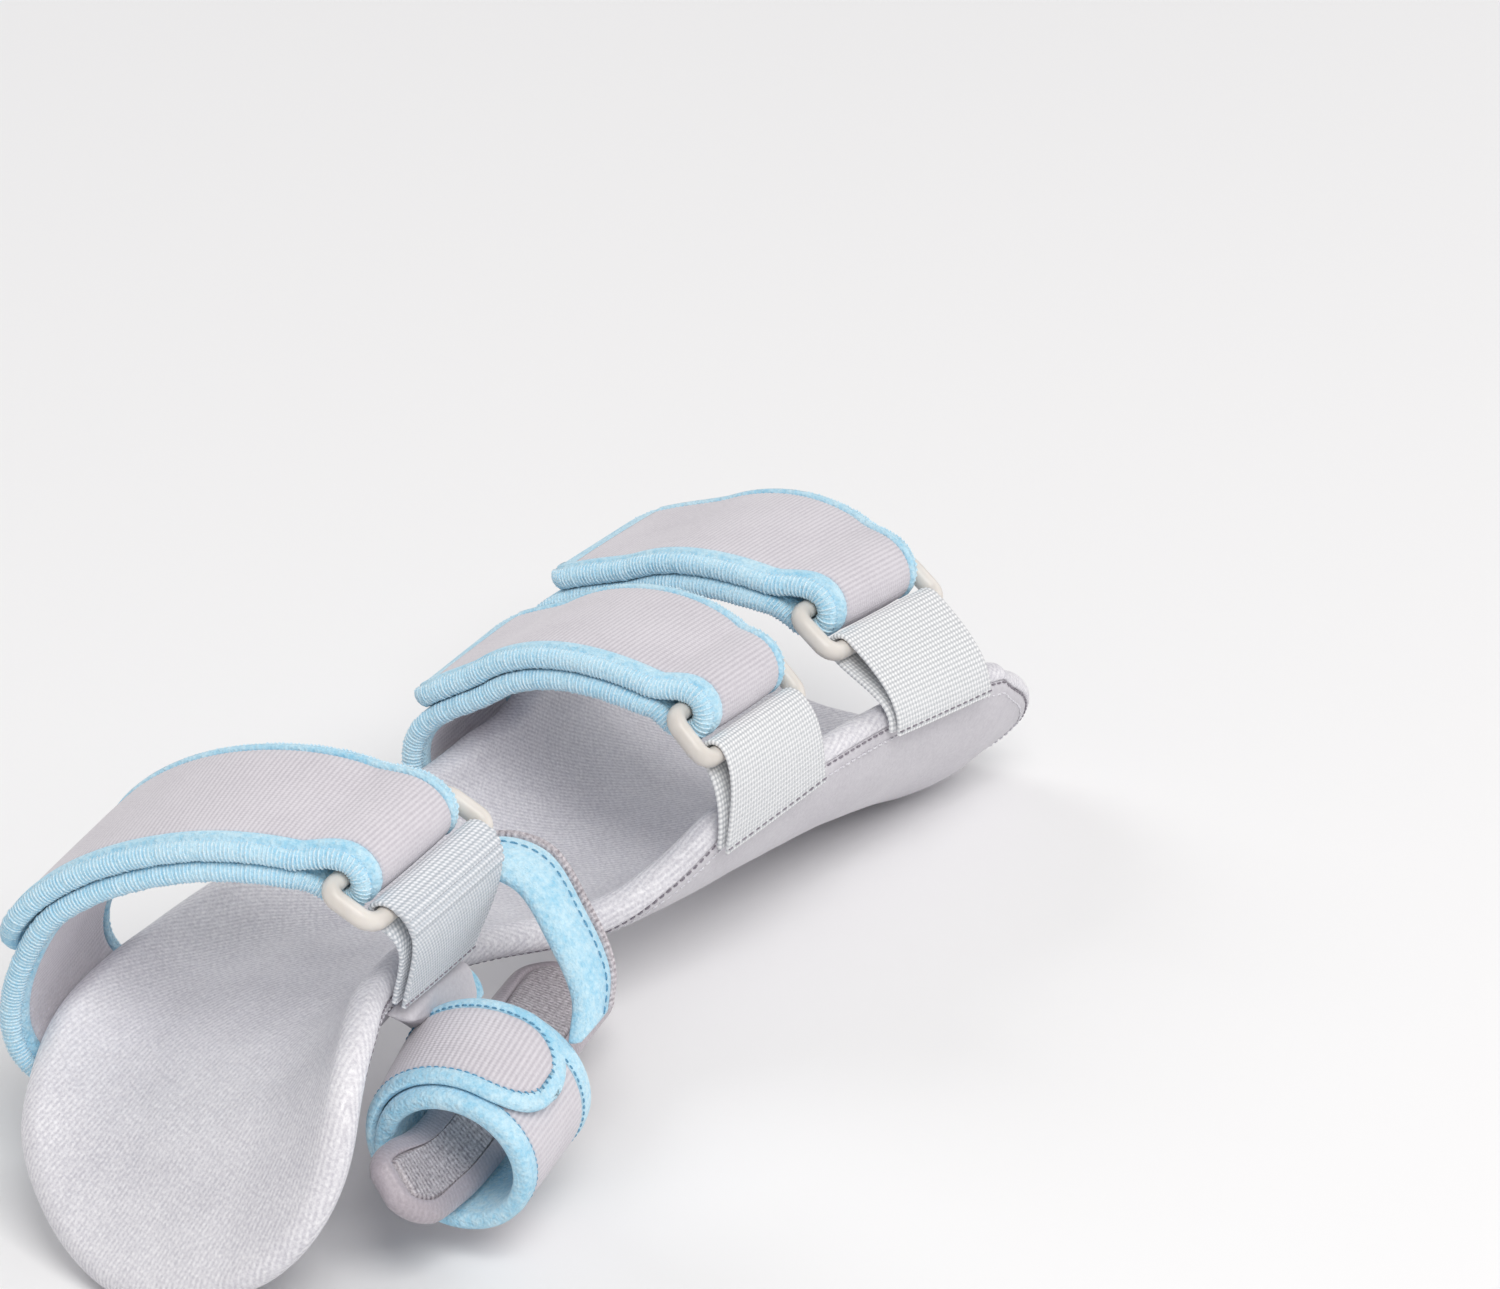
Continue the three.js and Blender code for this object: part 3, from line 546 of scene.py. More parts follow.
# sum of values, each times its weight
def weighted(tree, *parts):
    total = 0
    for value, weight in parts:
        total = mathOf(tree, "MULTIPLY_ADD", value, weight, total)
    return total


# lines in the cloth's own UV, which is in millimetres: across and along
def linesIn(tree, across, along, pitch, sharpness=1):
    source = node(tree, "ShaderNodeUVMap", uv_map="cloth")
    split = node(tree, "ShaderNodeSeparateXYZ")
    tree.links.new(source.outputs["UV"], split.inputs["Vector"])
    turns = 2 * math.pi / pitch
    phase = weighted(tree, (split.outputs["X"], across * turns), (split.outputs["Y"], along * turns))
    return rangeOf(tree, mathOf(tree, "SINE", phase), -sharpness, sharpness)


def paint(tree, tone, low, high, deep, bright):
    made = node(tree, "ShaderNodeMix", {"A": sRgb(*deep), "B": sRgb(*bright)}, data_type="RGBA")
    tree.links.new(rangeOf(tree, tone, low, high), made.inputs["Factor"])
    toShader(tree, made.outputs["Result"], "Base Color")


def bumpFrom(tree, height, strength, distance):
    made = node(tree, "ShaderNodeBump", {"Strength": strength, "Distance": distance})
    tree.links.new(height, made.inputs["Height"])
    toShader(tree, made.outputs["Normal"], "Normal")


def smoothCloth(name, bright, deep, roughness):
    tree = newMaterial(name, {"Sheen Weight": 0.18, "Sheen Roughness": 0.4})
    fine = noiseAt(tree, 900, 2)
    paint(tree, weighted(tree, (noiseAt(tree, 28, 4), 0.55), (fine, 0.45)), 0.35, 0.68, deep, bright)
    toShader(tree, rangeOf(tree, fine, 0.3, 0.7, roughness - 0.06, roughness + 0.08), "Roughness")
    bumpFrom(tree, weighted(tree, (noiseAt(tree, 2100, 1), 1), (fine, 1)), 0.35, 0.0003)


# satin: the colour is lighter on the raised weave and on fine specks, and darker in the hollows between the
# threads: painted highlight, painted glints and painted shade in the weave
def pearlSatin(name, bright, deep, across, along, contrast):
    pitch = 1.35
    tree = newMaterial(name, {"Sheen Weight": 0.12, "Specular IOR Level": 0.6})
    cross = rangeOf(tree, linesIn(tree, -along, across, pitch * 1.35), 0, 1, 0.55)
    weave = mathOf(tree, "MULTIPLY", linesIn(tree, across, along, pitch, 0.9), cross)
    # fine bright and dark specks in the colour: painted glints on the satin
    glintSpecks = rangeOf(tree, noiseAt(tree, 1150, 3, 0.7), 0.38, 0.62)
    weaveAndGlints = weighted(tree, (weave, 0.45), (glintSpecks, 0.55))
    broad = rangeOf(tree, noiseAt(tree, 22), 0.3, 0.7, 0, 1 - contrast)
    paint(tree, weighted(tree, (weaveAndGlints, contrast), (broad, 1)), 0, 1, deep, bright)
    toShader(tree, rangeOf(tree, weaveAndGlints, 0, 1, 0.52, 0.3), "Roughness")
    bumpFrom(tree, weaveAndGlints, 0.4, 0.00025)


def brushedTerry(name, bright, deep):
    sheen = {"Sheen Weight": 0.5, "Sheen Roughness": 0.55, "Sheen Tint": sRgb(225, 245, 255)}
    tree = newMaterial(name, {"Roughness": 0.95, **sheen})
    loops = textureAt(tree, "ShaderNodeTexVoronoi", {"Scale": 1150})["Distance"]
    fluff = noiseAt(tree, 620, 4, 0.65)
    paint(tree, weighted(tree, (fluff, 0.6), (noiseAt(tree, 60), 0.4)), 0.36, 0.6, deep, bright)
    bumpFrom(tree, weighted(tree, (loops, 0.6), (fluff, 1)), 0.75, 0.0007)


def ribKnit(name, bright, deep):
    tree = newMaterial(name, {"Roughness": 0.88, "Sheen Weight": 0.25})
    fine = noiseAt(tree, 1300, 2)
    tone = weighted(tree, (linesIn(tree, 0, 1, 1.3), 0.3), (fine, 0.45), (noiseAt(tree, 45), 0.4))
    paint(tree, tone, 0.3, 0.75, deep, bright)
    bumpFrom(tree, weighted(tree, (linesIn(tree, 1, 0, 0.9), 0.35), (fine, 1)), 0.4, 0.0003)


def silverWebbing(name, bright, deep, slant, roughness):
    tree = newMaterial(name, {"Roughness": roughness, "Sheen Weight": 0.15})
    weft = rangeOf(tree, linesIn(tree, 0, 1, 1.25), 0, 1, 0.35)
    warp = rangeOf(tree, linesIn(tree, 1, slant, 1.15), 0, 1, 0.4)
    weave = mathOf(tree, "MULTIPLY", weft, warp)
    paint(tree, weighted(tree, (weave, 0.8), (noiseAt(tree, 1800, 2), 0.35)), 0.25, 0.85, deep, bright)
    bumpFrom(tree, weave, 0.55, 0.0004)


def mouldedPlastic(name, bright, deep):
    tree = newMaterial(name, {"Subsurface Weight": 0.08, "Subsurface Radius": (0.002, 0.0015, 0.001)})
    fine = noiseAt(tree, 1600, 2)
    paint(tree, noiseAt(tree, 120), 0.3, 0.7, deep, bright)
    toShader(tree, rangeOf(tree, fine, 0.3, 0.7, 0.3, 0.42), "Roughness")
    bumpFrom(tree, fine, 0.12, 0.0001)


def threadMaterial(name, bright, deep):
    tree = newMaterial(name, {"Roughness": 0.7, "Sheen Weight": 0.2})
    twist = noiseAt(tree, 2400, 1)
    paint(tree, twist, 0.35, 0.65, deep, bright)
    bumpFrom(tree, twist, 0.4, 0.0002)


smoothCloth("lilacCover", (215, 213, 218), (197, 194, 201), 0.72)
# the finger pan's lining carries the satin's painted glints and painted weave shade
pearlSatin("pearlLining", (252, 251, 254), (186, 184, 194), 0.8, 0.6, 0.66)
# ribbed satin of the thumb pad and the web flap: its very dark colour between the ribs is painted shade in
# the grooves
pearlSatin("ribbedLining", (226, 220, 225), (118, 110, 117), 0, 1, 0.85)
# the thumb pad's cover is set darker than the board's cover: painted shade over the thumb pad
pearlSatin("thumbCloth", (200, 192, 199), (160, 151, 159), 0, 1, 0.5)
brushedTerry("blueTerry", (202, 234, 248), (146, 207, 236))
ribKnit("greyKnit", (217, 213, 219), (190, 185, 193))
silverWebbing("whiteWebbing", (250, 251, 252), (184, 187, 192), 0, 0.55)
silverWebbing("satinWebbing", (242, 244, 248), (170, 178, 187), 0.5, 0.42)
mouldedPlastic("ringPlastic", (228, 223, 217), (214, 208, 201))
threads = {
    "paleThread": ((226, 243, 251), (178, 222, 243)),
    "blueThread": ((190, 230, 248), (140, 200, 232)),
    "whiteThread": ((236, 236, 240), (198, 196, 204)),
    "deepBlueThread": ((112, 172, 204), (78, 138, 176)),
    "greyThread": ((150, 144, 154), (112, 106, 116)),
}
for name, colours in threads.items():
    threadMaterial(name, *colours)


def newObject(name, data):
    made = bpy.data.objects.new(name, data)
    bpy.context.collection.objects.link(made)
    return made


def newMesh(name, points, faces, material=None, edges=()):
    mesh = bpy.data.meshes.new(name)
    mesh.from_pydata([tuple(place) for place in points], edges, faces)
    mesh.polygons.foreach_set("use_smooth", [True] * len(faces))
    if material:
        mesh.materials.append(bpy.data.materials[material])
    mesh.update()
    return newObject(name, mesh)


# points are in the arm's frame and uvs in millimetres, one for each face corner
def newPiece(name, points, faces, uvs, material):
    piece = newMesh(name, onTable(points), faces, material)
    layer = piece.data.uv_layers.new(name="cloth")
    layer.data.foreach_set("uv", np.array(uvs, np.float32).reshape(-1))
    return piece


def settle(piece, nodes):
    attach(piece, "root")
    if nodes:
        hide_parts(*nodes)


# closed wall between two grids of points, faces outwards
def gridPiece(name, lower, upper, uvGrid, material):
    rows, columns = lower.shape[:2]
    top = rows * columns
    faces = []
    for i in range(rows - 1):
        for a in range(i * columns, (i + 1) * columns - 1):
            b = a + columns
            faces.append((a + top, b + top, b + 1 + top, a + 1 + top))
            faces.append((a, a + 1, b + 1, b))
    lastRow = top - columns
    loop = [*range(0, top, columns), *range(lastRow + 1, top)]
    loop += [*range(lastRow - 1, 0, -columns), *range(columns - 2, 0, -1)]
    faces += [(a, b, b + top, a + top) for a, b in zip(loop, loop[1:] + loop[:1])]
    uvOf = uvGrid.reshape(-1, 2)
    uvs = [uvOf[index % top] for face in faces for index in face]
    return newPiece(name, np.concatenate([lower.reshape(-1, 3), upper.reshape(-1, 3)]), faces, uvs, material)


# soft unevenness of the padding, and small pulls beside the seam
def paddedRelief(distance, arc, nearest, look):
    soft = noiseOf(distance / 17, arc / 17, 0.3) + 0.5 * noiseOf(distance / 8, arc / 8, 4.1)
    turns = 2 * math.pi * distance / look["puckerPitch"]
    pull = math.sin(turns + 2 * noiseOf(distance / 21, 0, 7)) * math.exp(-((nearest - 7) / 4.5) ** 2)
    pull *= 0.4 + 0.6 * abs(noiseOf(distance / 30, 3, 1))
    return look["softness"] * soft * smooth(nearest / 9) + look["pucker"] * pull


# one side of a padded sheet: the cover below, or the lining above
def sheetPiece(name, sheet, part, look, material):
    half = look["thickness"] / 2
    length = sheet["length"]
    wraps = part == look["rolledPart"]
    insets = look["rolledInsets"] if wraps else look["sunkInsets"]
    count = int(round((length - 2 * insets[-1]) / look["rowStep"]))
    middle = np.linspace(insets[-1], length - insets[-1], count + 1)[1:-1]
    lower, upper, uvs = [], [], []
    for distance in [*insets, *middle, *(length - inset for inset in reversed(insets))]:
        station = stationAt(sheet, distance)
        fromEnd = min(distance, length - distance)
        shears, rims = {}, {}
        for sign in (-1, 1):
            edge = station[sign]["edge"]
            shears[sign] = edgeShear(sheet, distance, sign)
            stretch = min(shears[sign], 0.8 * edge / insets[-1])
            rims[sign] = [sign * (edge - inset * stretch) for inset in insets]
        inside = np.linspace(rims[-1][-1], rims[1][-1], look["columns"])[1:-1]
        arcs = [*rims[-1], *inside, *reversed(rims[1])]
        lowRow, highRow, spots = [], [], []
        for index, arc in enumerate(arcs):
            sign = -1 if arc < 0 else 1
            nearest = min(fromEnd, max(station[sign]["edge"] - abs(arc), 0) / shears[sign])
            swell = half * max(rounding(nearest, half), 0.08)
            dip = look["seamDip"] * math.exp(-((nearest - look["seam"]) / look["seamReach"]) ** 2)
            wrinkle = paddedRelief(distance, arc, nearest, look)
            fromRim = min(index, len(arcs) - 1 - index)
            rolled = wraps and (nearest < look["seam"] - 0.02 or fromRim < len(insets) - 1)
            low, high = half - swell, half + swell
            if look["rolledPart"] == "lining":
                low += min(dip, swell)
            else:
                high -= min(dip, swell)
            if part == "cover":
                low -= wrinkle * 0.6
                high = high if rolled else half - general["gap"] / 2
            else:
                high += wrinkle
                low = low if rolled else half + general["gap"] / 2
            lowRow.append(onStation(station, arc, low)[0])
            highRow.append(onStation(station, arc, high)[0])
            spots.append((arc, low if part == "cover" else high))
        runs = runOf(np.array(spots))
        lower.append(lowRow)
        upper.append(highRow)
        uvs.append([(run, distance) for run in runs - np.interp(0, arcs, runs)])
    return gridPiece(name, np.array(lower), np.array(upper), np.array(uvs), material)


print("stage: padded board")
outerCover = sheetPiece("outerCover", boardForm, "cover", board, "lilacCover")
innerLining = sheetPiece("innerLining", boardForm, "lining", board, "pearlLining")
settle(outerCover, ["outer_cover"])
settle(innerLining, ["inner_lining"])

tongue = {
    "thickness": 7,
    "seam": 4.6,
    "seamDip": 1.0,
    "seamReach": 0.7,
    "tipRound": 15,
    "tipShare": 0.16,
    "rolledPart": "cover",
    "rolledInsets": (0, 0.3, 0.8, 1.4, 2.2, 3.1, 3.8, 4.2, 4.45, 4.6),
    "sunkInsets": (4.6, 4.75, 5.0, 5.4, 6.0),
    "rowStep": 1.6,
    "columns": 26,
    "softness": 0.35,
    "pucker": 0.2,
    "puckerPitch": 5,
}
tongueNames = ("x", "y", "z", "roll", "flat", "near", "nearBend", "far", "farBend")
tongueRows = [dict(zip(tongueNames, values)) for values in (
    (-175, -38.5, -3, -42, 5, 13, 20, 13, 20),
    (-163, -39.5, -6, -46, 5, 14.5, 50, 13.8, 48),
    (-152, -39.2, -6.5, -47, 5, 14.5, 66, 13.6, 62),
    (-118, -34.3, -3, -44, 5, 15, 68, 14, 66),
    (-90, -27, -3, -20, 6, 15, 35, 15, 35),
    (-50, -18, -4, -2, 7, 15, 14, 15, 14),
)]


def tongueEdge(full, distance, length):
    nearest = min(distance, length - distance)
    return full * mix(tongue["tipShare"], 1, rounding(nearest, tongue["tipRound"]))


print("stage: thumb pad")
tongueForm = makeSheet(tongueRows, tongueEdge, lambda x: 0)
thumbCover = sheetPiece("thumbCover", tongueForm, "cover", tongue, "thumbCloth")
thumbLining = sheetPiece("thumbLining", tongueForm, "lining", tongue, "ribbedLining")
settle(thumbCover, ["thumb_cover"])
settle(thumbLining, ["thumb_lining"])


# sections set on stations, and faces as pairs of ring and side
def swept(stations, profile, closed=False):
    sections = [np.array(profile(station)) for station in stations]
    points = []
    for station, section in zip(stations, sections):
        width, face = axesOf(station)
        points.append(station["place"] + section[:, :1] * width + section[:, 1:2] * face)
    sides, count = len(sections[0]), len(stations)
    corners = []
    for i in range(count if closed else count - 1):
        for k in range(sides):
            n = (k + 1) % sides
            corners.append(((i, k), (i + 1, k), (i + 1, n), (i, n)))
    if not closed:
        corners.append([(0, k) for k in range(sides)])
        corners.append([(count - 1, k) for k in reversed(range(sides))])
    faces = [[(i % count) * sides + k for i, k in face] for face in corners]
    return sections, np.concatenate(points), corners, faces


# closed wall swept along stations. profile gives rows of across, height
def sweepPiece(name, stations, profile, material, closed=False):
    sections, points, corners, faces = swept(stations, profile, closed)
    runs = [station.get("outerRun", station["fromStart"]) for station in stations]
    runs.append(runs[-1] + stations[1]["fromStart"])
    uvs = [(sections[i % len(sections)][k][0], runs[i]) for face in corners for i, k in face]
    return newPiece(name, points, faces, uvs, material)


def arcPoints(centreX, centreY, radius, start, stop, steps):
    angles = np.radians(np.linspace(start, stop, steps + 1))
    return [(centreX + radius * math.cos(a), centreY + radius * math.sin(a)) for a in angles]


def ovalSection(radiusX, radiusY, sides):
    angles = np.linspace(0, 2 * math.pi, sides, endpoint=False)
    return [(radiusX * math.cos(a), radiusY * math.sin(a)) for a in angles]


edging = {
    "distalBorder": 7.2,  # blue band beside the grey face
    "proximalBorder": 4.2,
    "groove": 3.2,  # stitched line in the blue band
    "grooveDepth": 1.0,
    "faceSink": 0.25,
    "ribPitch": 1.3,
    "ribHeight": 0.17,
    "ribSamples": 4,
    "strapPanel": {"crown": 0.3, "shares": (0.985, 0.94, 0.8, 0.5, 0.2, 0.06, 0.015)},
    "sleevePanel": {"crown": 0.25, "shares": (0.97, 0.85, 0.5, 0.15, 0.03)},
}


# section of a padded band: half round edges, blue borders and a sunk middle for the grey face
def bandSection(half, full, sunk):
    low, high, groove = edging["distalBorder"], edging["proximalBorder"], edging["groove"]
    radius, left, right = full / 2, low - half, half - high
    points = arcPoints(half - radius, radius, radius, -90, 90, 8)
    if sunk:
        points += [(right + 1.4, full + 0.4), (right + 0.5, full + 0.3), (right, full - 0.3)]
        points += [(right, band["body"]), (left, band["body"]), (left, full - 0.2), (left - 0.6, full + 0.21)]
    else:
        middle = (low - high) / 2
        flats = (right + 1.4, right + 0.5, middle + 4, middle + 2, middle, middle - 3, left - 0.6)
        points += [(x, full) for x in flats]
    points.append(((low + groove) / 2 - half, full + 0.35))
    depth = edging["grooveDepth"]
    for across, height in ((0.9, 0.15), (0.3, -0.8 * depth), (-0.2, -depth), (-0.45, -0.25)):
        points.append((groove + across - half, full + height))
    points += arcPoints(radius - half, radius, radius, 90, 270, 14)[1:]
    inner = half - groove
    return points + [(-inner, 0.3), (1 - inner, -0.05), (0, 0), (inner - 1, -0.05), (inner, 0.2)]


def ribbedPanel(left, right, bottom, top, run, panel):
    crown = panel["crown"]
    rib = edging["ribHeight"] * abs(math.sin(math.pi * run / edging["ribPitch"]))
    points = [(left, bottom), (right, bottom), (right, top - crown - 0.05)]
    for share in panel["shares"]:
        points.append((mix(left, right, share), top + rib + crown * (1 - (2 * share - 1) ** 4)))
    return points + [(left, top - crown - 0.05)]


# lines that stitches follow: place, travel, outward and face for each point
edgeLines = {name: [] for name in ("overlock", "groove", "trim", "flap", "webbing")}


def edgeLine(stations, across, height, outSign):
    line = []
    for station in stations:
        width, face = axesOf(station)
        spot = across(station) if callable(across) else across
        place = station["place"] + width * spot + face * height
        line.append((place, station["travel"], width * outSign, face))
    return line


def makeStrap(name, strap):
    path = strapPath(strap)
    low, high, full = edging["distalBorder"], edging["proximalBorder"], band["full"]
    coarse = resampled(path, 1.0)
    ribStep = edging["ribPitch"] / edging["ribSamples"]
    fine = [s for s in resampled(path, ribStep, full) if s["fromStart"] > 2.2 and s["fromEnd"] > low + 0.4]
    for station in coarse + fine:
        lost = strap["tailRound"] * (1 - rounding(station["fromEnd"], strap["tailRound"]))
        station["half"] = float(np.linalg.norm(station["width"])) - lost

    def bodySection(station):
        sunk = station["fromEnd"] > low and station["fromStart"] > 2
        nearest = min(station["fromEnd"], station["fromStart"]) + 0.4
        swell = mix(0.75, 1, rounding(nearest, band["tailSoftEnd"]))
        return [(x, mix(full / 2, y, swell)) for x, y in bandSection(station["half"], full, sunk)]

    def faceSection(station):
        left, right = low + 0.05 - station["half"], station["half"] - high - 0.05
        top = full - edging["faceSink"]
        return ribbedPanel(left, right, band["body"] + 0.05, top, station["outerRun"], edging["strapPanel"])

    body = sweepPiece(name + "Strap", coarse, bodySection, "blueTerry")
    settle(body, [name + "_strap"])
    face = sweepPiece(name + "StrapFace", fine, faceSection, "greyKnit")
    settle(face, [name + "_strap_face"])
    for sign in (-1, 1):
        line = edgeLine(coarse[2:-2], lambda s: sign * (s["half"] - full / 2), full / 2, sign)
        edgeLines["overlock"].append(line)
    line = edgeLine(coarse[3:-6], lambda s: edging["groove"] - s["half"], full - 0.75, -1)
    edgeLines["groove"].append(line)


def makeRing(name, strap):
    section = ovalSection(band["rod"] * 0.53, band["rod"] * 0.48, 20)
    stations = measured(ringPath(strap, 10), closed=True)
    ring = sweepPiece(name + "Ring", stations, lambda station: section, "ringPlastic", closed=True)
    settle(ring, [name + "_ring"])


webbing = {
    "inset": 4.8,
    "ribPitch": 1.25,
    "ribSamples": 5,
    "ribHeight": 0.16,
    "ridges": 4,  # cords beside the ring on the hand's webbing
    "ridgePitch": 2.3,
    "ridgeHeight": 0.7,
}


def makeWebbing(name, strap):
    ring = ringPlace(strap)
    half = ringStrapWidth / 2
    gap, thick = general["gap"], band["webbing"]
    sewn = sewnLine(strap["webbedAt"], -1, webbing["inset"], half)
    outerStart = sewn["place"] + sewn["out"] * (2 * thick + 3 * gap)
    outerTop = ring["lowerBar"] + ring["out"] * barRadius
    reach = np.linalg.norm(outerTop - outerStart) / 3

    def toBar(start, end):
        return bezier(start, start + sewn["outline"] * reach, end + ring["ahead"] * reach, end, 30)

    rise = toBar(outerStart, outerTop)
    innerEnd = sewn["place"] + sewn["out"] * (thick + 2 * gap)
    fall = toBar(innerEnd, ring["lowerBar"] - ring["out"] * barRadius)[::-1]
    sewnWidth = sewn["along"] * half
    ringWidth = unit(ring["width"]) * half
    fold = turnRound(ring["lowerBar"], -ring["out"], -ring["ahead"], ringWidth)
    path = blend(rise, sewnWidth, ringWidth) + fold + blend(fall, ringWidth, sewnWidth)
    stations = resampled(path, webbing["ribPitch"] / webbing["ribSamples"], thick)
    stop = runOf(rise)[-1]
    start = stop - webbing["ridges"] * webbing["ridgePitch"]

    def section(station):
        run = station["outerRun"]
        rib = webbing["ribHeight"] * math.sin(math.pi * run / webbing["ribPitch"]) ** 2
        if name == "hand" and start < run < stop:
            ridge = abs(math.sin(math.pi * (run - start) / webbing["ridgePitch"]))
            rib += webbing["ridgeHeight"] * ridge ** 0.7
        top, base = thick + rib, -rib * 0.5
        side = [(half - 0.4, base), (half, base + 0.4), (half, top - 0.4), (half - 0.4, top)]
        side += [(half - 1.6, top - 0.12), (half * 0.5, top)]
        return [(0, base)] + side + [(0, top)] + [(-x, y) for x, y in reversed(side)]

    material = "satinWebbing" if name == "hand" else "whiteWebbing"
    piece = sweepPiece(name + "Webbing", stations, section, material)
    settle(piece, [name + "_webbing"])
    near = [station for station in stations if station["fromStart"] < 1.6][-1]
    width, face = axesOf(near)
    middle = near["place"] + face * (thick + 0.12)
    places = [middle + width * half * share for share in np.linspace(-0.96, 0.96, 30)]
    edgeLines["webbing"].append([(place, width, near["travel"], face) for place in places])


print("stage: straps, rings and webbing")
for name, strap in straps.items():
    makeStrap(name, strap)
    makeRing(name, strap)
    makeWebbing(name, strap)

flap = {
    "rows": (
        (-111, -19, 43, 7), (-107.5, -27, 56, 7.5), (-103.3, -38, 54, 8),
        (-106, -50, 43, 8), (-109.5, -59, 31, 8), (-115, -61.6, 22.5, 8),
    ),
    "width": vec(-0.95, -0.1, -0.12),
    "body": 2.4,
    "lining": 1.2,
    "rim": 3,
    "stitchInset": 3.2,
}


def catmullRom(rows, count):
    rows = [np.array(row, float) for row in rows]
    points = [2 * rows[0] - rows[1]] + rows + [2 * rows[-1] - rows[-2]]
    path = []
    spans = len(points) - 3
    for t in np.linspace(0, spans, count + 1):
        i = min(int(t), spans - 1)
        values = points[i:i + 4]
        knots = [0]
        for a, b in zip(values, values[1:]):
            knots.append(knots[-1] + math.sqrt(max(np.linalg.norm(b[:3] - a[:3]), 1e-4)))
        u = mix(knots[1], knots[2], t - i)
        for reach, starts in ((1, (0, 1, 2)), (2, (0, 1)), (1, (1,))):
            spread = []
            for k, start in enumerate(starts):
                low, high = knots[start], knots[start + reach]
                spread.append((values[k] * (high - u) + values[k + 1] * (u - low)) / (high - low))
            values = spread
        path.append(values[0])
    return path


def makeFlap():
    path = catmullRom(flap["rows"], 60)
    stations = measured([{"place": p[:3], "width": unit(flap["width"]) * p[3], "half": p[3]} for p in path])
    top, low = flap["body"], -flap["lining"]

    def terrySection(station):
        half = station["half"]
        return [
            (-half + 0.7, 0.15), (half - 1.6, 0.15), (half - 1.4, -1.1), (half - 0.7, -1.3), (half, -0.6),
            (half + 0.1, 1.0), (half - 0.5, top), (0, top + 0.2),
            (-half + 0.7, top), (-half, 1.8), (-half, 0.8),
        ]

    # lining under the terry, its rim standing up beside it as a binding
    def satinSection(station):
        side = -station["half"]
        rim, edge = side - flap["rim"], -side - 1.9
        return [
            (rim + 1.2, low), (0, low - 0.15), (edge - 0.3, low), (edge, low + 0.3), (edge, -0.15),
            (side - 0.25, -0.15), (side - 0.25, top - 0.3), (side - 0.8, top + 0.3), (side - 1.7, top + 0.5),
            (rim + 0.5, top), (rim, top - 0.9), (rim - 0.1, 0.6), (rim + 0.3, -0.6),
        ]

    terry = sweepPiece("webFlap", stations, terrySection, "blueTerry")
    settle(terry, ["web_flap"])
    satin = sweepPiece("webFlapLining", stations, satinSection, "ribbedLining")
    settle(satin, ["web_flap_lining"])
    line = edgeLine(stations[2:-2], lambda s: flap["stitchInset"] - s["half"], top + 0.15, -1)
    edgeLines["flap"].append(line)


# soft lobe below the palm's thumb edge, with a blue bound end beside the thumb opening
lobe = {
    "topInset": 6.6,
    "tuck": 0.6,  # how far the top edge lies under the board's cover
    "lower": (
        (-149, -26, 31), (-140, -23.5, 25), (-131, -21.5, 18.5),
        (-121, -20, 12), (-111, -19, 8.5), (-102, -18.5, 9.5),
    ),
    "edge": 0.5,
    "thickness": 3.4,
    "bulge": 2.4,
    "wrinkle": 0.25,
    "softEnd": 3,
    "binding": 1.9,
    "past": 0.8,  # the binding stands this far past the lobe's end
}


def makeLobe():
    stations = []
    for place in catmullRom(lobe["lower"], 48):
        top, _ = rimPoint(boardForm, place[0], -1, lobe["topInset"], -lobe["tuck"])
        stations.append({"place": (top + place) / 2, "width": (place - top) / 2})
    measured(stations)
    edge, thick, bulge = lobe["edge"], lobe["thickness"], lobe["bulge"]

    def section(station):
        half = float(np.linalg.norm(station["width"]))
        swell = max(rounding(min(station["fromStart"], station["fromEnd"] * 2.5), lobe["softEnd"]), 0.3)
        points = [(-half + 0.3, 0), (half - 0.3, 0)]
        for share in np.linspace(1, -1, 23):
            height = mix(edge, thick, rounding((1 - abs(share)) * half, 2.2)) + bulge * (1 - share * share)
            height += lobe["wrinkle"] * noiseOf(station["fromStart"] / 6, share * 3, 2)
            points.append((share * half, height * swell))
        return points

    cloth = sweepPiece("palmLobe", stations, section, "lilacCover")
    settle(cloth, None)
    end = stations[-1]
    out = axesOf(end)[1]
    path = []
    for share in np.linspace(-0.98, 0.98, 24):
        lift = thick + bulge * (1 - share * share) + 1
        place = end["place"] + end["width"] * share + out * lift + end["travel"] * lobe["past"]
        path.append({"place": place, "width": out})
    oval = ovalSection(lobe["binding"] * 1.35, lobe["binding"], 15)
    binding = sweepPiece("palmLobeBinding", measured(path), lambda station: oval, "blueTerry")
    settle(binding, None)


sleeve = {
    "tip": vec(-157, -49, 0),
    "root": vec(-121, -43, 8),
    "cone": 1,
    "radius": 21.3,
    "thickness": 4.6,
    "border": 5.6,
    "faceThickness": 0.9,
    "tabFrom": 28,
    "tabTo": 200,
    "tabWidth": 31,
    "tabClearance": 0.4,
    "tabBody": 2,
    "tabFull": 3.1,
    "tabBorder": 4,
}


def sleeveStations(radius, start, stop, count):
    axis = sleeve["root"] - sleeve["tip"]
    half = np.linalg.norm(axis) / 2
    along = unit(axis)
    rise = unit(vec(0, 0, 1) - along * along[2])
    side = np.cross(along, rise)
    centre = (sleeve["root"] + sleeve["tip"]) / 2
    closed = stop - start == 360
    stations = []
    for angle in np.radians(np.linspace(start, stop, count, endpoint=not closed)):
        out = side * math.cos(angle) + rise * math.sin(angle)
        width = along * half + out * sleeve["cone"]
        stations.append({"place": centre + out * radius, "width": width, "half": half})
    return measured(stations, closed=closed)


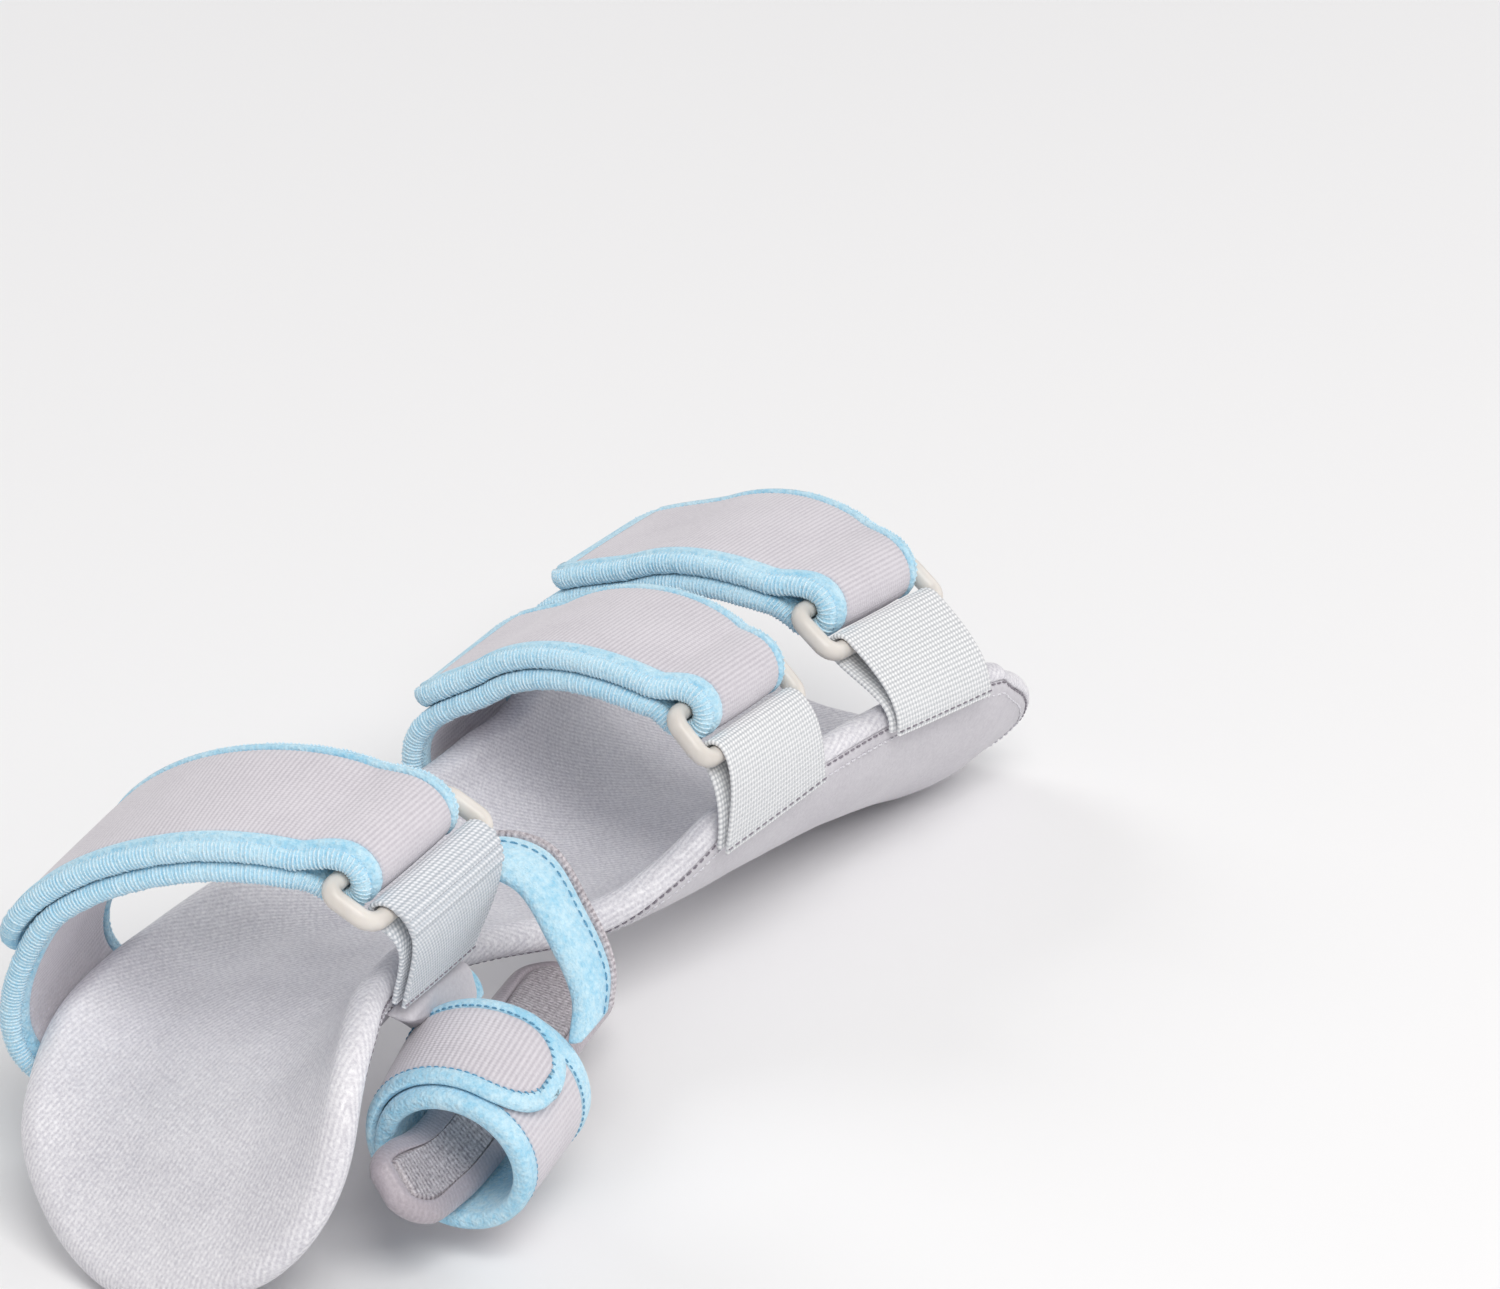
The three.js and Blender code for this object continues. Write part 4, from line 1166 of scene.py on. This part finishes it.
def softBand(half, body, full, border, sunk):
    radius = min(full / 2, 1.6)
    side = arcPoints(half - radius, radius, radius, -90, 0, 4)
    side += arcPoints(half - radius, full - radius, radius, 0, 90, 4)
    inner = half - border
    side += [(half - border * 0.55, full + 0.25), (inner + 0.5, full + 0.1)]
    side += [(inner, full - 0.3), (inner, body)] if sunk else [(inner - 1, full), (half * 0.3, full)]
    return side + [(-x, y) for x, y in reversed(side)] + [(-half * 0.5, 0), (half * 0.5, 0)]


def makeSleeve():
    inner, full, border = sleeve["radius"] - sleeve["thickness"], sleeve["thickness"], sleeve["border"]
    stations = sleeveStations(inner, 0, 360, 120)
    half = stations[0]["half"]
    body = full - general["gap"] - sleeve["faceThickness"]
    cuffSection = softBand(half, body, full, border, True)
    cuff = sweepPiece("thumbCuff", stations, lambda station: cuffSection, "blueTerry", closed=True)
    settle(cuff, ["thumb_cuff"])
    samples, pitch = edging["ribSamples"], edging["ribPitch"]
    fine = sleeveStations(inner, 0, 360, int(round(2 * math.pi * inner / pitch)) * samples)
    for i, station in enumerate(fine):
        station["fromStart"] = i / samples * pitch
    left, right = border - half, half - border

    def panel(station):
        return ribbedPanel(left, right, body + 0.05, full - 0.25, station["fromStart"], edging["sleevePanel"])

    face = sweepPiece("cuffFace", fine, panel, "greyKnit", closed=True)
    settle(face, ["cuff_face"])
    for sign in (-1, 1):
        edgeLines["trim"].append(edgeLine(stations + stations[:1], sign * (right + 0.35), full - 0.1, sign))


def roundEnd(fromStart, half, least):
    return half * mix(least, 1, rounding(fromStart, half))


def makeTab():
    radius, border = sleeve["radius"] + sleeve["tabClearance"], sleeve["tabBorder"]
    body, full = sleeve["tabBody"], sleeve["tabFull"]
    outerHalf = sleeve["tabWidth"] / 2

    def tabStations(count):
        return sleeveStations(radius, sleeve["tabFrom"], sleeve["tabTo"], count)

    def panelHalf(station):
        return roundEnd(station["fromStart"] - border, outerHalf - border, 0.1)

    def bodySection(station):
        half = roundEnd(station["fromStart"], outerHalf, 0.14)
        if station["fromStart"] > border:
            return softBand(half, body, full, half - panelHalf(station), True)
        return softBand(half, body, full, min(border, half * 0.8), False)

    def panel(station):
        edge, run = panelHalf(station), station["fromStart"]
        return ribbedPanel(-edge, edge, body + 0.05, full - 0.2, run, edging["sleevePanel"])

    stations = tabStations(110)
    tab = sweepPiece("cuffTab", stations, bodySection, "blueTerry")
    settle(tab, ["cuff_tab"])
    count = int(stations[-1]["fromStart"] / edging["ribPitch"] * edging["ribSamples"])
    fine = [station for station in tabStations(count) if station["fromStart"] > border + 0.3]
    face = sweepPiece("cuffTabFace", fine, panel, "greyKnit")
    settle(face, ["cuff_tab_face"])
    part = [station for station in stations if station["fromStart"] > border * 0.9]
    line = edgeLine(part[::-1], lambda s: panelHalf(s) + 0.3, full, 1)
    line += edgeLine(part, lambda s: -panelHalf(s) - 0.3, full, -1)
    edgeLines["trim"].append(line)


print("stage: thumb sleeve and web flap")
makeLobe()
makeSleeve()
makeTab()
makeFlap()


# line round the board on its outer side, a given distance in from the edge
def seamLoop(inset, offset):
    length = boardForm["length"]
    curved, straight = 23, 24
    distances = [*np.linspace(inset, curved, 20), *np.linspace(straight, length - straight, 150)]
    distances += [*np.linspace(length - curved, length - inset, 20)]

    def reachAt(distance, sign):
        edge = edgeAt(boardForm, distance, sign)
        return edge - min(inset * edgeShear(boardForm, distance, sign), 0.8 * edge)

    def across(distance):
        return [(distance, arc) for arc in np.linspace(-reachAt(distance, -1), reachAt(distance, 1), 40)]

    spots = [(distance, -reachAt(distance, -1)) for distance in distances] + across(distances[-1])[1:-1]
    spots += [(distance, reachAt(distance, 1)) for distance in distances[::-1]] + across(distances[0])[::-1]
    stations = []
    for distance, arc in spots:
        place, inward, _ = onStation(stationAt(boardForm, distance), arc, offset)
        stations.append({"place": place, "out": -inward})
    return [(s["place"], s["travel"], np.cross(s["travel"], s["out"]), s["out"]) for s in measured(stations)]


edgeLines["boardSeam"] = [seamLoop(board["seam"] + 0.25, 0.35)]
edgeLines["boardRow"] = [seamLoop(board["seam"] + 3.4, -0.05)]


def stitchMesh(name, points, radius, sides, material):
    stations = measured([{"place": place} for place in points])
    for station in stations:
        level = vec(1, 0, 0.01) if abs(station["travel"][0]) < 0.9 else vec(0, 0, 1)
        station["width"] = np.cross(station["travel"], level)
    whole, tapered = ovalSection(radius, radius, sides), ovalSection(radius * 0.55, radius * 0.55, sides)
    _, vertices, _, faces = swept(stations, lambda s: whole if s["fromStart"] and s["fromEnd"] else tapered)
    return newMesh(name, vertices / 1000, faces, material)


# a loop of thread round a band's edge: x along the seam, y outwards, z off the face
def wrapStitch(radius, thread, material):
    angles = np.radians(np.linspace(-88, 88, 7))
    along = np.linspace(-0.2, 0.2, 7)
    points = [vec(x, radius * math.cos(a), radius * math.sin(a)) for x, a in zip(along, angles)]
    return stitchMesh("wrapStitch", points, thread, 4, material)


def dashStitch(length, thread, material):
    shares = (-1, -0.6, 0, 0.6, 1)
    points = [vec(length * x / 2, 0, thread * (0.35 - 0.55 * x * x)) for x in shares]
    return stitchMesh("dashStitch", points, thread, 5, material)


# Geometry Nodes: even points along the lines, one stitch on each, turned by two stored directions
def sewingTree():
    tree = bpy.data.node_groups.new("sewAlongLine", "GeometryNodeTree")
    sockets = (
        ("Geometry", "Geometry", None), ("Stitch", "Object", None), ("Pitch", "Float", 0.0013),
        ("Unevenness", "Float", 0.08), ("Seed", "Int", 4), ("Thread", "Material", None),
    )
    for name, kind, value in sockets:
        socket = tree.interface.new_socket(name, in_out="INPUT", socket_type="NodeSocket" + kind)
        if value is not None:
            socket.default_value = value
    tree.interface.new_socket("Geometry", in_out="OUTPUT", socket_type="NodeSocketGeometry")
    entry = node(tree, "NodeGroupInput")
    result = node(tree, "NodeGroupOutput")
    curve = node(tree, "GeometryNodeMeshToCurve")
    even = node(tree, "GeometryNodeResampleCurve", mode="LENGTH")
    travel = node(tree, "GeometryNodeInputNamedAttribute", {"Name": "travel"}, data_type="FLOAT_VECTOR")
    outward = node(tree, "GeometryNodeInputNamedAttribute", {"Name": "outward"}, data_type="FLOAT_VECTOR")
    turn = node(tree, "FunctionNodeAxesToRotation", primary_axis="X", secondary_axis="Y")
    info = node(tree, "GeometryNodeObjectInfo")
    place = node(tree, "GeometryNodeInstanceOnPoints")
    spread = node(tree, "FunctionNodeRandomValue", data_type="FLOAT")
    realize = node(tree, "GeometryNodeRealizeInstances")
    colour = node(tree, "GeometryNodeSetMaterial")

    def floatSocket(sockets, name):
        return [socket for socket in sockets if socket.name == name and socket.type == "VALUE"][0]

    low = mathOf(tree, "SUBTRACT", 1.0, entry.outputs["Unevenness"])
    high = mathOf(tree, "ADD", 1.0, entry.outputs["Unevenness"])
    tree.links.new(low, floatSocket(spread.inputs, "Min"))
    tree.links.new(high, floatSocket(spread.inputs, "Max"))
    tree.links.new(floatSocket(spread.outputs, "Value"), place.inputs["Scale"])
    links = (
        (entry, "Geometry", curve, 0), (curve, 0, even, "Curve"), (entry, "Pitch", even, "Length"),
        (even, 0, place, "Points"), (entry, "Stitch", info, "Object"), (info, "Geometry", place, "Instance"),
        (travel, "Attribute", turn, 0), (outward, "Attribute", turn, 1), (turn, 0, place, "Rotation"),
        (entry, "Seed", spread, "Seed"), (place, 0, realize, 0), (realize, 0, colour, "Geometry"),
        (entry, "Thread", colour, "Material"), (colour, 0, result, 0),
    )
    for source, output, target, entrance in links:
        tree.links.new(source.outputs[output], target.inputs[entrance])
    return tree


sewing = sewingTree()


def sew(name, lines, stitch, pitch, unevenness, seed, material):
    rows = [row for line in lines for row in line]
    edges = []
    start = 0
    for line in lines:
        edges += [(i, i + 1) for i in range(start, start + len(line) - 1)]
        start += len(line)
    source = newMesh(name + "Line", onTable([row[0] for row in rows]), [], edges=edges)
    for key, index in (("travel", 1), ("outward", 2)):
        values = np.array([restTurn @ row[index] for row in rows], np.float32)
        attribute = source.data.attributes.new(key, "FLOAT_VECTOR", "POINT")
        attribute.data.foreach_set("vector", values.reshape(-1))
    modifier = source.modifiers.new("sewing", "NODES")
    modifier.node_group = sewing
    thread = bpy.data.materials[material]
    values = {"Stitch": stitch, "Pitch": pitch / 1000, "Unevenness": unevenness}
    values.update({"Seed": seed, "Thread": thread})
    for item in sewing.interface.items_tree:
        if item.in_out == "INPUT" and item.name in values:
            modifier[item.identifier] = values[item.name]
    bpy.context.view_layer.update()
    graph = bpy.context.evaluated_depsgraph_get()
    mesh = bpy.data.meshes.new_from_object(source.evaluated_get(graph))
    mesh.name = name
    bpy.data.objects.remove(source)
    piece = newObject(name, mesh)
    mesh.polygons.foreach_set("use_smooth", [True] * len(mesh.polygons))
    if not mesh.materials:
        mesh.materials.append(thread)
    settle(piece, None)
    print("   ", name, len(mesh.polygons), "faces")


# a dash stands on the cloth, so its outward direction is swapped for one across the seam
def faceLines(lines):
    return [[(place, travel, np.cross(face, travel), face) for place, travel, _, face in line]
            for line in lines]


print("stage: stitches")
sewn = {
    "strapOverlock": {"lines": "overlock", "pitch": 1.05, "thread": "paleThread", "slot": "terry"},
    "borderStitches": {"lines": "groove", "pitch": 2.0, "thread": "blueThread", "slot": "terry"},
    "trimStitches": {"lines": "trim", "pitch": 2.0, "thread": "deepBlueThread", "slot": "terry"},
    "flapStitches": {"lines": "flap", "pitch": 2.7, "thread": "deepBlueThread", "slot": "terry"},
    "webbingStitches": {"lines": "webbing", "pitch": 2.5, "thread": "greyThread", "slot": "webbing"},
    "boardStitches": {"lines": "boardSeam", "pitch": 2.3, "thread": "greyThread", "slot": "cover"},
    "boardRowStitches": {"lines": "boardRow", "pitch": 2.2, "thread": "whiteThread", "slot": "cover"},
}
for seed, (name, look) in enumerate(sewn.items()):
    lines, thread = edgeLines[look["lines"]], look["thread"]
    if name == "strapOverlock":
        unevenness = 0.04
        stitch = wrapStitch(band["full"] / 2 + 0.02, 0.3, thread)
    else:
        unevenness = 0.08
        lines = faceLines(lines)
        stitch = dashStitch(look["pitch"] * 0.68, 0.27, thread)
    sew(name, lines, stitch, look["pitch"], unevenness, seed, thread)
    bpy.data.objects.remove(stitch)

print("stage: floor, light and camera")
studio = {
    "floorHalf": 4,
    "azimuth": -59,
    "elevation": 23.5,
    "distance": 2300,
    "scale": 3.95,  # pixels for each millimetre at that distance
    "anchor": vec(0, -34, 58.5),
    "anchorPixel": (733, 704),
    "pixels": (1500, 1289),
    "sensor": 36,
    "world": 0.44,
}
lights = {
    "key": {"place": (-0.9, -1.1, 1.7), "size": 1.1, "power": 27, "colour": (1, 0.985, 0.965)},
    "fill": {"place": (1.5, -1.2, 1.1), "size": 1.6, "power": 11, "colour": (1, 0.99, 0.99)},
    "rim": {"place": (0.3, 1.6, 1.4), "size": 1.0, "power": 8, "colour": (1, 1, 1)},
}


def makeFloor():
    tree = newMaterial("paleFloor", {"Roughness": 0.9, "Base Color": sRgb(244, 244, 245)})
    half = studio["floorHalf"]
    corners = [(-half, -half, 0), (half, -half, 0), (half, half, 0), (-half, half, 0)]
    floor = newMesh("floor", corners, [(0, 1, 2, 3)], "paleFloor")


def makeCamera():
    azimuth, elevation = math.radians(studio["azimuth"]), math.radians(studio["elevation"])
    right = vec(math.cos(azimuth), math.sin(azimuth), 0)
    flat = math.cos(elevation)
    back = vec(math.sin(azimuth) * flat, -math.cos(azimuth) * flat, math.sin(elevation))
    up = np.cross(back, right)
    width, height = studio["pixels"]
    scale = studio["scale"]
    place = studio["anchor"] + back * studio["distance"]
    place = place + right * (width / 2 - studio["anchorPixel"][0]) / scale
    place = place + up * (studio["anchorPixel"][1] - height / 2) / scale
    data = bpy.data.cameras.new("camera")
    data.sensor_width = studio["sensor"]
    data.sensor_fit = "HORIZONTAL"
    data.lens = scale * studio["distance"] / width * studio["sensor"]
    data.clip_end = 20
    camera = newObject("camera", data)
    matrix = Matrix((restTurn @ np.array([right, up, back]).T).tolist()).to_4x4()
    matrix.translation = Vector(onTable([place])[0])
    camera.matrix_world = matrix
    bpy.context.scene.camera = camera


def makeLights():
    for name, look in lights.items():
        data = bpy.data.lights.new(name, "AREA")
        data.size = look["size"]
        data.energy = look["power"]
        data.color = look["colour"]
        light = newObject(name, data)
        light.location = look["place"]
        light.rotation_euler = (Vector((0, 0, 0.04)) - light.location).to_track_quat("-Z", "Y").to_euler()
    world = bpy.data.worlds.new("studio")
    world.use_nodes = True
    background = world.node_tree.nodes["Background"]
    background.inputs["Color"].default_value = (1, 0.99, 0.99, 1)
    background.inputs["Strength"].default_value = studio["world"]
    bpy.context.scene.world = world


makeFloor()
makeCamera()
makeLights()
bpy.context.scene.view_settings.view_transform = "Standard"

print("stage: finishing")
